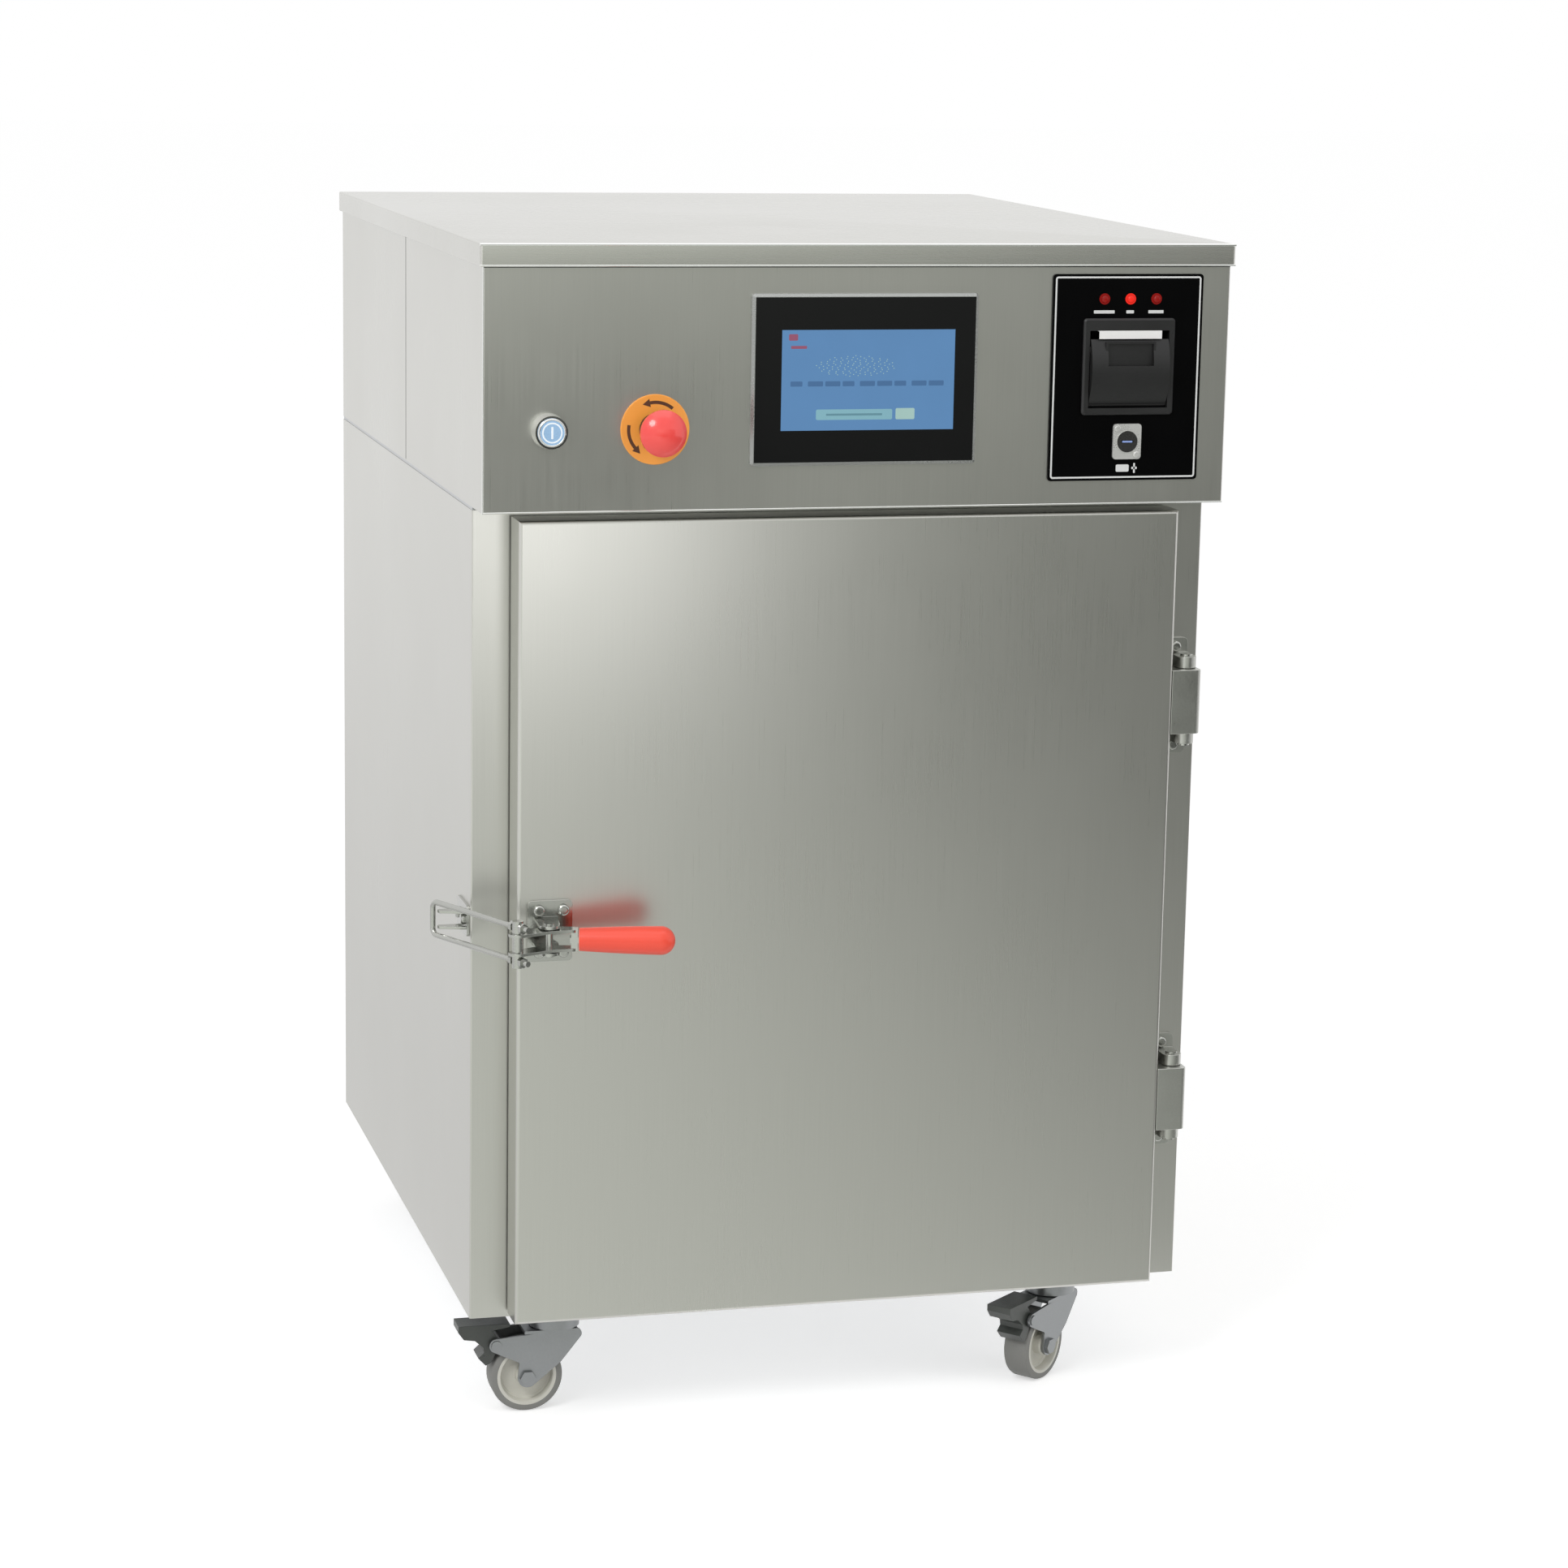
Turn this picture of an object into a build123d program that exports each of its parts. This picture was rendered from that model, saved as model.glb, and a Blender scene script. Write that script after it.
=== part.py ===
from build123d import *
import math
import os

# Lengths are in millimetres and angles in degrees. X runs to the right, Y to the back, Z up.
# The origin lies on the floor, under the middle of the whole object's box.

# Cabinet
TOP_W = 670.0  # top cover, left to right
TOP_D = 775.0  # top cover, front to back
TOP_H = 19.0  # turned-down edge of the top cover
SHEET = 1.5  # stainless sheet
FOLD_R = 2.4  # outside of a folded corner
COVER_SIDE = 3.0  # top cover past the head at each side
COVER_NOSE = 3.5  # top cover past the head at front and back
HEAD_H = 208.0  # part of the head that shows under the cover's edge
HEAD_SPLIT = 384.0  # console shell's depth, up to the seam in the head's sides
SPLIT_GAP = 0.8
DECK_T = 3.0  # deck between the chamber cabinet and the head
DECK_INSET = 0.8
BODY_H = 724.0
OVERHANG = 48.0  # head's front to the cabinet's front
CASTER_H = 101.0  # floor to the cabinet's underside

# How far pieces stand out past the top cover, which places the origin
LEFT_REACH = 28.5
FRONT_REACH = 55.5
REAR_REACH = 30.0

# Door
DOOR_LEFT = 33.5  # cabinet's left side to the door's left edge
DOOR_RIGHT = 36.5
DOOR_END = 5.0  # cabinet's top and bottom to the door's ends
DOOR_T = 36.0
GASKET_GAP = 4.0  # door's back to the front frame
GASKET_SLACK = 0.2
GASKET_W = 14.0
GASKET_IN = 8.0  # mouth's edge to the gasket
DOOR_EDGE_R = 3.0

# Chamber and its insulation
WALL_SIDE = 82.0  # cabinet's side to the chamber's inside
WALL_END = 62.0  # cabinet's top and bottom to the chamber's inside
BACK_SPACE = 180.0  # chamber's back to the cabinet's back
LINER_FLANGE = 12.0
WOOL = 50.0
PAN_T = 2.0
PAN_LIP = 25.0

# Fan, heater and baffle behind the chamber
BAFFLE_GAP = 75.0
BAFFLE_SLOT = 22.0
BAFFLE_POST_R = 6.0
SHAFT_R = 5.0
SHAFT_GAP = 0.05
FAN_R = 105.0
FAN_DEPTH = 32.0
FAN_BACK = 12.0  # impeller's back disc to the liner's back wall
BLADE_COUNT = 10
MOTOR_R = 50.0
MOTOR_L = 85.0
MOTOR_FLANGE_R = 58.0
MOTOR_FLANGE_T = 4.0
HEATER_R = 5.0
HEATER_HALF = 150.0
HEATER_BEND = 22.0
HEATER_COLLAR_R = 9.0
HEATER_COLLAR_T = 3.0
HEATER_TAIL = 14.0

# Shelves
RAIL_T = 3.0
RAIL_LEDGE = 14.0
RAIL_FRONT = 8.0  # front frame to the rails
RAIL_FOOT = 6.0  # shelf's lip to the rail's underside
RAIL_POST_IN = 40.0
RAIL_POST_HALF = 9.0
SHELF_LEVELS = (190.0, 390.0)  # above the chamber's floor
SHELF_FRONT = 39.0  # cabinet's front to the shelves' front
SHELF_BACK = 6.0
SHELF_MARGIN = 20.0  # shelf's edge to its slots
SHELF_LIP = 12.0
SHELF_SIDE_GAP = 2.0
SHELF_RUN = 0.2
SHELF_SLOT_ROWS = 13
SHELF_SLOT_COLUMNS = 3
SHELF_SLOT_W = 6.0
SHELF_SLOT_L = 125.0
SHELF_TRAVEL = 35.0

# Hinges
HINGE_FROM_END = 173.0  # door's top and bottom to the hinge centres
HINGE_OUT = 18.0  # door's right edge to the pin
HINGE_FORWARD = 23.5  # cabinet's front to the pin
BLOCK_W = 28.0
BLOCK_H = 58.0
BLOCK_NOSE = 1.0  # door's front to the block's front
BLOCK_D = 27.5
KNUCKLE_R = 9.0
KNUCKLE_H = 10.0
KNUCKLE_GAP = 0.5
PIN_R = 4.0
PIN_GAP = 0.05
PIN_HEAD_R = 5.5
PIN_HEAD_H = 2.0
BRACKET_T = 3.0
BRACKET_W = 24.0
BRACKET_H = 106.0
BRACKET_SCREW_INSET = 8.0
SCREW_HEAD_R = 5.0
SCREW_HEAD_H = 3.6
SCREW_R = 3.0
SCREW_GRIP = 8.0
SCREW_GAP = 0.05

# Latch, placed from the door's front left edge
PIVOT_OUT = (21.5, -33.5)
TRUNNION_OUT = (-8.5, -45.5)
GRIP_START = (45.0, -37.0)
GRIP_END = (125.0, -57.0)
ROD_LENGTH = 123.5
ROD_ANGLE = 115.85  # rods' direction when the lever rests, from +X
ROD_R = 2.5
ROD_HALF_SPAN = 14.75
ROD_TAIL = 15.0
ROD_BEND = 6.0
LEVER_SEAT = 3.25  # last bit of lever travel, which seats the hook bolt
LEVER_OPEN = 60.0
LATCH_RUN = 0.05
TRUNNION_R = 4.8
TRUNNION_HALF = 20.5
ARM_IN = 7.0
ARM_T = 2.5
ARM_END_R = 8.0
ARM_PIVOT_R = 9.0
ARM_NECK_R = 7.0
EAR_GAP = 1.0
EAR_T = 2.5
BASE_T = 3.0
BASE_X = (8.2, 48.0)
BASE_HALF_H = 27.0
BASE_EAR_FOOT = (14.0, 36.0)
BASE_SCREW_X = (18.4, 39.9)
BASE_SCREW_Z = 18.5
LATCH_PIN_R = 3.0
LATCH_PIN_HEAD_R = 5.0
LATCH_PIN_HEAD_H = 1.5
TANG_HALF_W = 5.0
TANG_HALF_T = 2.5
TANG_TO_END = 8.0
GRIP_R0 = 10.0
GRIP_R1 = 12.5
NUT_FLATS = 8.0
NUT_T = 4.0
NUT_GAP = 0.1
CATCH_T = 2.5
CATCH_FRONT = 4.5
CATCH_BACK = 52.5
CATCH_HALF_H = 14.0
PRONG_IN = 5.8  # latch's middle to the prongs
PRONG_T = 2.5
PRONG_FRONT = 9.0
PRONG_GAP = 0.6
CATCH_SCREW_Y = (17.0, 43.0)

# Console front, placed from the cabinet's middle and the top cover's top
SCREEN_W = 201.5
SCREEN_H = 147.0
SCREEN_DROP = 115.6
SCREEN_PROUD = 6.0
SCREEN_EDGE = 3.0
SCREEN_CHAMFER = 2.4
SCREEN_CASE_INSET = 6.0
SCREEN_CASE_D = 42.0
GLASS_T = 2.2
GLASS_GAP = 0.2
CUT_GAP = 0.5

PLATE_W = 138.0
PLATE_H = 180.0
PLATE_IN = 94.6  # head's right side to the plate's middle
PLATE_DROP = 116.0
PLATE_T = 2.0
PLATE_R = 3.0
LAMP_PITCH = 23.8
LAMP_X = 2.0  # lamps' middle from the plate's middle
LAMP_DROP = 47.5
LAMP_R = 3.8
LAMP_FLANGE_R = 4.8
LAMP_FLANGE_T = 0.8
LAMP_PROUD = 3.6
LAMP_BARREL = 12.0

PRINTER_SIZE = 84.0
PRINTER_X = 1.2
PRINTER_DROP = 106.2
PRINTER_PROUD = 4.0
PRINTER_CHAMFER = 1.6
PRINTER_CASE_HALF_W = 38.5
PRINTER_CASE_D = 60.0
PRINTER_WALL = 2.0
BAY_TOP = 31.5
BAY_BOTTOM = 36.0
COVER_TOP = 24.0
COVER_T = 2.5
COVER_GAP = 0.8
COVER_BULGE = 6.5
COVER_AXIS = 33.0  # printer's middle down to the cover's pin
COVER_AXIS_IN = 1.0
COVER_BARREL_R = 2.4
COVER_STUB_R = 1.5
COVER_STUB_L = 1.4
RECESS_W = 41.7
RECESS_TOP = 20.3
RECESS_BOTTOM = 1.2
RECESS_D = 5.0
ROLL_R = 22.5
ROLL_BORE = 6.3
ROLL_W = 57.5
ROLL_IN = 31.0
ROLL_DROP = 8.0
SPINDLE_GAP = 0.3
SPINDLE_BITE = 4.0
PAPER_T = 0.5
PAPER_PROUD = 2.2
PAPER_IN = 14.0

SOCKET_X = 2.6
SOCKET_DROP = 171.8
SOCKET_W = 26.0
SOCKET_H = 31.0
SOCKET_T = 2.0
SOCKET_R = 3.0
SOCKET_FACE_R = 9.6
SOCKET_FACE_PROUD = 0.8
SOCKET_BARREL_R = 11.8
SOCKET_BARREL_D = 22.0
SOCKET_SLOT = (11.0, 2.2, 8.0)
SOCKET_SCREW = (9.0, 11.5)
SOCKET_SCREW_R = 2.8
SOCKET_SCREW_H = 1.2

STOP_IN = 148.6  # head's left side to the stop button
STOP_DROP = 156.9
STOP_PLATE_R = 30.0
STOP_PLATE_T = 1.6
STOP_COLLAR_R = 14.0
STOP_COLLAR_H = 12.0
STOP_STEM_R = 9.0
STOP_BOSS_R = 6.0
STOP_HEAD_R = 20.0
STOP_HEAD_BACK = 24.0  # panel to the back of the red head
STOP_HEAD_RIM = 33.5
STOP_HEAD_FRONT = 43.0
STOP_TRAVEL = 5.0
BARREL_R = 11.0
BARREL_D = 36.0
BUTTON_GAP = 0.1

POWER_IN = 56.8  # head's left side to the power button
POWER_DROP = 157.3
POWER_FLANGE_R = 15.0
POWER_FLANGE_T = 2.0
POWER_BEZEL_R = 14.0
POWER_BEZEL_H = 13.0
POWER_CAP_R = 12.2
POWER_CAP_BACK = 6.5
POWER_CAP_FRONT = 15.0
POWER_STEM_R = 6.0
POWER_STEM_L = 16.0
POWER_TRAVEL = 3.0

# Pump, pipes, electronics and inlet
PUMP_IN = 212.0  # head's right side to the pump's middle
PUMP_GAP = 12.5  # suction pipe to the pump's base
PORT_DROP = 8.0  # top of the pump's head to the exhaust pipe
PUMP_BASE = (210.0, 110.0, 8.0)
PUMP_MOTOR_R = 45.0
PUMP_MOTOR_L = 60.0
PUMP_HEAD = (64.0, 84.0, 104.0)
PIPE_R = 12.5
PIPE_BORE = 10.0
SUCTION_R = 6.0
SUCTION_BORE = 4.0
SUCTION_BEND = 16.0
FERRULE_R = 10.0
FERRULE_T = 4.0
CONTROLLER = (180.0, 120.0, 70.0)
SUPPLY = (110.0, 100.0, 55.0)
ELECTRONICS_IN = 82.0  # head's left side to the controller
ELECTRONICS_Y = 330.0
INLET_IN = 152.0  # head's left side to the mains inlet
INLET_RISE = 45.0
INLET_W = 50.0
INLET_H = 28.0
INLET_T = 2.5
INLET_BODY = (27.0, 20.0, 26.0)
INLET_WELL = (22.0, 15.0, 19.0)
INLET_BLADE = (1.4, 4.5, 12.0)
INLET_PITCH = 7.0
VENT_COUNT = 9
VENT_PITCH = 11.0
VENT_W = 4.5
VENT_L = 150.0

# Castors
WHEEL_R = 33.0
WHEEL_W = 25.0
TREAD = 6.0
WHEEL_WEB = 7.0
HUB_R = 9.0
HUB_W = 27.0
RIM_T = 3.0
AXLE_R = 4.0
AXLE_GAP = 0.05
FORK_IN = 14.5
FORK_T = 2.5
FORK_TOP = 77.0  # floor to the fork's crown
CROWN_T = 3.0
TRAIL = 27.0
MOUNT_PLATE = (94.0, 66.0, 3.0)
MOUNT_HOLES = (74.0, 46.0)
MOUNT_BOLT_R = 4.0
MOUNT_BOLT_HEAD = 6.5
MOUNT_BOLT_HEAD_H = 3.5
RACE_R = 23.0
RACE_GAP = 0.6
KING_R = 6.0
KING_GAP = 0.05
KING_NUT_R = 10.0
KING_NUT_H = 4.0
CASTER_LEFT = 85.0  # cabinet's left side to the left castors
CASTER_RIGHT = 106.0
CASTER_FRONT = 41.0
CASTER_BACK = 55.0
SWIVEL_REST = {"left": 0.0, "right": 40.0}
FORK_FRONT = 17.5
FORK_BACK = 28.0
FORK_WAIST_Z = 50.0
FORK_ARM_R = 5.0
FORK_KNEE_R = 6.5
FORK_FOOT_R = 9.0
CROWN_HALF = 30.0
CROWN_FRONT = 19.0
PEDAL_PIVOT = (-55.7, 65.0)
PEDAL_HUB_R = 6.5
PEDAL_HALF_W = 12.5
PEDAL_PIN_R = 3.0
PEDAL_PIN_GAP = 0.05
PEDAL_TRAVEL = 6.0

# Places worked out from the sizes above
MID_X = LEFT_REACH / 2
TOP_X0 = MID_X - TOP_W / 2
TOP_X1 = MID_X + TOP_W / 2
TOP_Y0 = -(TOP_D + REAR_REACH - FRONT_REACH) / 2
TOP_Y1 = TOP_Y0 + TOP_D
HEAD_X0 = TOP_X0 + COVER_SIDE
HEAD_X1 = TOP_X1 - COVER_SIDE
HEAD_Y0 = TOP_Y0 + COVER_NOSE
HEAD_Y1 = TOP_Y1 - COVER_NOSE
BODY_X0 = HEAD_X0
BODY_X1 = HEAD_X1
BODY_Y1 = HEAD_Y1
BODY_Y0 = HEAD_Y0 + OVERHANG
BODY_Z0 = CASTER_H
BODY_Z1 = BODY_Z0 + BODY_H
HEAD_Z0 = BODY_Z1 + DECK_T
HEAD_Z1 = HEAD_Z0 + HEAD_H
TOP_Z = HEAD_Z1 + TOP_H
HEAD_RIM = TOP_Z - SHEET

DOOR_X0 = BODY_X0 + DOOR_LEFT
DOOR_X1 = BODY_X1 - DOOR_RIGHT
DOOR_Y1 = BODY_Y0 - GASKET_GAP
DOOR_Y0 = DOOR_Y1 - DOOR_T
DOOR_Z0 = BODY_Z0 + DOOR_END
DOOR_Z1 = BODY_Z1 - DOOR_END

CHAMBER_X0 = BODY_X0 + WALL_SIDE
CHAMBER_X1 = BODY_X1 - WALL_SIDE
CHAMBER_Z0 = BODY_Z0 + WALL_END
CHAMBER_Z1 = BODY_Z1 - WALL_END
CHAMBER_Y1 = BODY_Y1 - BACK_SPACE
FAN_X = (CHAMBER_X0 + CHAMBER_X1) / 2
FAN_Z = (CHAMBER_Z0 + CHAMBER_Z1) / 2
BAFFLE_Y = CHAMBER_Y1 - BAFFLE_GAP

HINGE_X = DOOR_X1 + HINGE_OUT
HINGE_Y = BODY_Y0 - HINGE_FORWARD
HINGE_ZS = (DOOR_Z0 + HINGE_FROM_END, DOOR_Z1 - HINGE_FROM_END)

LATCH_Z = (DOOR_Z0 + DOOR_Z1) / 2
PIVOT = (DOOR_X0 + PIVOT_OUT[0], DOOR_Y0 + PIVOT_OUT[1])
TRUNNION = (DOOR_X0 + TRUNNION_OUT[0], DOOR_Y0 + TRUNNION_OUT[1])
ROD_DIR = (math.cos(math.radians(ROD_ANGLE)), math.sin(math.radians(ROD_ANGLE)))
HOOK_END = (TRUNNION[0] + ROD_LENGTH * ROD_DIR[0], TRUNNION[1] + ROD_LENGTH * ROD_DIR[1])

SCREEN_Z = TOP_Z - SCREEN_DROP
PLATE_MID_X = HEAD_X1 - PLATE_IN
PLATE_MID_Z = TOP_Z - PLATE_DROP
PLATE_Y = HEAD_Y0 - PLATE_T
PRINTER_MID_X = PLATE_MID_X + PRINTER_X
PRINTER_MID_Z = TOP_Z - PRINTER_DROP
COVER_HINGE = (PLATE_Y + COVER_AXIS_IN, PRINTER_MID_Z - COVER_AXIS)
SOCKET_MID_X = PLATE_MID_X + SOCKET_X
SOCKET_MID_Z = TOP_Z - SOCKET_DROP
STOP_AT = (HEAD_X0 + STOP_IN, TOP_Z - STOP_DROP)
POWER_AT = (HEAD_X0 + POWER_IN, TOP_Z - POWER_DROP)
PUMP_MID_X = HEAD_X1 - PUMP_IN
SUCTION_AT = (PUMP_MID_X, CHAMBER_Y1 - BAFFLE_GAP / 2)
PUMP_MID_Y = SUCTION_AT[1] + PUMP_GAP + PUMP_BASE[1] / 2
PUMP_PORT_Z = HEAD_Z0 + PUMP_BASE[2] + PUMP_HEAD[2] - PIPE_R - PORT_DROP
PUMP_AXIS_Z = HEAD_Z0 + PUMP_BASE[2] + PUMP_MOTOR_R - 3.0
INLET_AT = (HEAD_X0 + INLET_IN, HEAD_Z0 + INLET_RISE)
CASTER_AT = {
    "front_left": (BODY_X0 + CASTER_LEFT, BODY_Y0 + CASTER_FRONT),
    "front_right": (BODY_X1 - CASTER_RIGHT, BODY_Y0 + CASTER_FRONT),
    "rear_left": (BODY_X0 + CASTER_LEFT, BODY_Y1 - CASTER_BACK),
    "rear_right": (BODY_X1 - CASTER_RIGHT, BODY_Y1 - CASTER_BACK),
}


STAND = (Align.CENTER, Align.CENTER, Align.MIN)


def block(x0, x1, y0, y1, z0, z1):
    """A box given by the places of its six faces."""
    middle = Pos((x0 + x1) / 2, (y0 + y1) / 2, (z0 + z1) / 2)
    return middle * Box(x1 - x0, y1 - y0, z1 - z0)


def rod_x(x0, x1, y, z, r):
    """A round bar along X."""
    return Pos((x0 + x1) / 2, y, z) * Rot(0, 90, 0) * Cylinder(r, x1 - x0)


def rod_y(x, y0, y1, z, r):
    """A round bar along Y."""
    return Pos(x, (y0 + y1) / 2, z) * Rot(90, 0, 0) * Cylinder(r, y1 - y0)


def rod_z(x, y, z0, z1, r):
    """A round bar along Z."""
    return Pos(x, y, (z0 + z1) / 2) * Cylinder(r, z1 - z0)


def turned(radii, axis_x, axis_z):
    """A turned piece about a line along Y, from (y, radius) pairs in order."""
    points = [(radii[0][0], 0.0)] + list(radii) + [(radii[-1][0], 0.0)]
    outline = Polyline([(r, y, 0) for y, r in points], close=True)
    return Pos(axis_x, 0, axis_z) * revolve(make_face(outline), Axis.Y)


def slab(circles, low, high, plane="XY"):
    """The hull of circles (u, v, r), pulled from low to high along the plane's normal."""
    rings = Sketch() + [Pos(u, v) * Circle(r) for u, v, r in circles]
    shape = extrude(make_hull(rings.edges()), high - low)
    if plane == "XY":
        return Pos(0, 0, low) * shape
    return Pos(0, high, 0) * Rot(90, 0, 0) * shape


def group(*pieces):
    """Separate solids kept apart in one node."""
    return Compound([solid for piece in pieces for solid in piece.solids()])


def turn_about(point, pivot, degrees):
    """A point in plan, turned anticlockwise about a pivot."""
    c, s = math.cos(math.radians(degrees)), math.sin(math.radians(degrees))
    x, y = point[0] - pivot[0], point[1] - pivot[1]
    return (pivot[0] + c * x - s * y, pivot[1] + s * x + c * y)


# Cabinet shells

def base_pan():
    x0, x1 = BODY_X0 + SHEET, BODY_X1 - SHEET
    y0, y1 = BODY_Y0 + SHEET, BODY_Y1 - SHEET
    pan = block(x0, x1, y0, y1, BODY_Z0, BODY_Z0 + PAN_LIP)
    well = block(x0 + SHEET, x1 - SHEET, y0 + SHEET, y1 - SHEET, BODY_Z0 + PAN_T, BODY_Z0 + PAN_LIP)
    pan -= well
    for x, y in CASTER_AT.values():
        for hx, hy in bolt_places(x, y):
            pan -= rod_z(hx, hy, BODY_Z0 - 1, BODY_Z0 + PAN_T + 1, MOUNT_BOLT_R + SHEET / 10)
    return pan


def body_wrap():
    """Left side, back and right side, folded from one sheet."""
    outer = block(BODY_X0, BODY_X1, BODY_Y0 + SHEET, BODY_Y1, BODY_Z0, BODY_Z1)
    outer = fillet(outer.edges().filter_by(Axis.Z).group_by(Axis.Y)[-1], FOLD_R)
    inner = block(BODY_X0 + SHEET, BODY_X1 - SHEET, BODY_Y0, BODY_Y1 - SHEET, BODY_Z0 - 1, BODY_Z1 + 1)
    return outer - inner - catch_holes()


def front_frame():
    """Face of the cabinet, open at the chamber's mouth."""
    face = block(BODY_X0, BODY_X1, BODY_Y0, BODY_Y0 + SHEET, BODY_Z0, BODY_Z1)
    face = fillet(face.edges().filter_by(Axis.Z).group_by(Axis.Y)[0], SHEET * 0.9)
    mouth = block(CHAMBER_X0, CHAMBER_X1, BODY_Y0 - 1, BODY_Y0 + SHEET + 1, CHAMBER_Z0, CHAMBER_Z1)
    return face - mouth - bracket_holes()


def top_deck():
    deck = block(
        BODY_X0 + DECK_INSET, BODY_X1 - DECK_INSET, BODY_Y0 + DECK_INSET, BODY_Y1 - DECK_INSET, BODY_Z1, HEAD_Z0
    )
    return deck - rod_z(*SUCTION_AT, BODY_Z1 - 1, HEAD_Z0 + 1, SUCTION_R + CUT_GAP)


def chamber_liner():
    y0 = BODY_Y0 + SHEET
    box = block(
        CHAMBER_X0 - SHEET, CHAMBER_X1 + SHEET, y0, CHAMBER_Y1 + SHEET, CHAMBER_Z0 - SHEET, CHAMBER_Z1 + SHEET
    )
    edge = SHEET + LINER_FLANGE
    box += block(CHAMBER_X0 - edge, CHAMBER_X1 + edge, y0, y0 + SHEET, CHAMBER_Z0 - edge, CHAMBER_Z1 + edge)
    box -= block(CHAMBER_X0, CHAMBER_X1, y0 - 1, CHAMBER_Y1, CHAMBER_Z0, CHAMBER_Z1)
    box -= rod_y(FAN_X, CHAMBER_Y1 - 1, CHAMBER_Y1 + SHEET + 1, FAN_Z, SHAFT_R + CUT_GAP)
    for x in heater_tails():
        box -= rod_y(x, CHAMBER_Y1 - 1, CHAMBER_Y1 + SHEET + 1, FAN_Z - HEATER_HALF, HEATER_R + CUT_GAP)
    return box - rod_z(*SUCTION_AT, CHAMBER_Z1 - 1, CHAMBER_Z1 + SHEET + 1, SUCTION_R + CUT_GAP)


def insulation():
    """Mineral wool round the liner, with a well for the fan motor."""
    side = SHEET + WOOL
    y0 = BODY_Y0 + 2 * SHEET
    y1 = CHAMBER_Y1 + SHEET
    wool = block(CHAMBER_X0 - side, CHAMBER_X1 + side, y0, y1 + WOOL, CHAMBER_Z0 - side, CHAMBER_Z1 + side)
    wool -= block(
        CHAMBER_X0 - SHEET, CHAMBER_X1 + SHEET, y0 - 1, y1, CHAMBER_Z0 - SHEET, CHAMBER_Z1 + SHEET
    )
    wool -= rod_y(FAN_X, y1 - 1, y1 + WOOL + 1, FAN_Z, MOTOR_FLANGE_R + CUT_GAP)
    for x in heater_tails():
        wool -= rod_y(x, y1 - 1, y1 + WOOL + 1, FAN_Z - HEATER_HALF, HEATER_COLLAR_R)
    return wool - rod_z(*SUCTION_AT, CHAMBER_Z1, CHAMBER_Z1 + side + 1, FERRULE_R + CUT_GAP)


def console_shell():
    """Front of the head and the front part of its sides, with the console's cut-outs."""
    split = HEAD_Y0 + HEAD_SPLIT
    shell = block(HEAD_X0, HEAD_X1, HEAD_Y0, split, HEAD_Z0, HEAD_RIM)
    folds = shell.edges().group_by(Axis.Y)[0].filter_by(Axis.Z) + shell.edges().group_by(Axis.Y)[0].filter_by(
        Axis.X
    ).group_by(Axis.Z)[0]
    shell = fillet(folds, SHEET * 0.95)
    x0, x1 = HEAD_X0 + SHEET, HEAD_X1 - SHEET
    shell -= block(x0, x1, HEAD_Y0 + SHEET, split + 1, HEAD_Z0 + SHEET, HEAD_RIM - SHEET)
    shell -= block(x0, x1, BODY_Y0 + PAN_LIP, split + 1, HEAD_Z0 - 1, HEAD_RIM - SHEET)
    shell -= block(x0, x1, HEAD_Y0 + PAN_LIP, split + 1, HEAD_Z0 + SHEET, HEAD_RIM + 1)
    for x in (HEAD_X0 + SHEET, HEAD_X1 - 2 * SHEET):
        shell += block(x, x + SHEET, split - PAN_LIP / 2, split + PAN_LIP / 2, HEAD_Z0, HEAD_RIM)
    y0, y1 = HEAD_Y0 - 1, HEAD_Y0 + SHEET + 1
    half_w = SCREEN_W / 2 - SCREEN_CASE_INSET + CUT_GAP
    half_h = SCREEN_H / 2 - SCREEN_CASE_INSET + CUT_GAP
    shell -= block(MID_X - half_w, MID_X + half_w, y0, y1, SCREEN_Z - half_h, SCREEN_Z + half_h)
    for x, z in (STOP_AT, POWER_AT):
        shell -= rod_y(x, y0, y1, z, BARREL_R + CUT_GAP)
    return shell - plate_cuts(y0, y1)


def plate_cuts(y0, y1):
    """Holes for the lamps, the printer and the socket, through what lies behind them."""
    half = PRINTER_CASE_HALF_W + CUT_GAP
    z0 = PRINTER_MID_Z - BAY_BOTTOM - PRINTER_WALL - CUT_GAP
    z1 = PRINTER_MID_Z + BAY_TOP + PRINTER_WALL + CUT_GAP
    cuts = block(PRINTER_MID_X - half, PRINTER_MID_X + half, y0, y1, z0, z1)
    for x in lamp_places():
        cuts += rod_y(x, y0, y1, TOP_Z - LAMP_DROP, LAMP_R + BUTTON_GAP)
    return cuts + rod_y(SOCKET_MID_X, y0, y1, SOCKET_MID_Z, SOCKET_BARREL_R + CUT_GAP)


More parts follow.
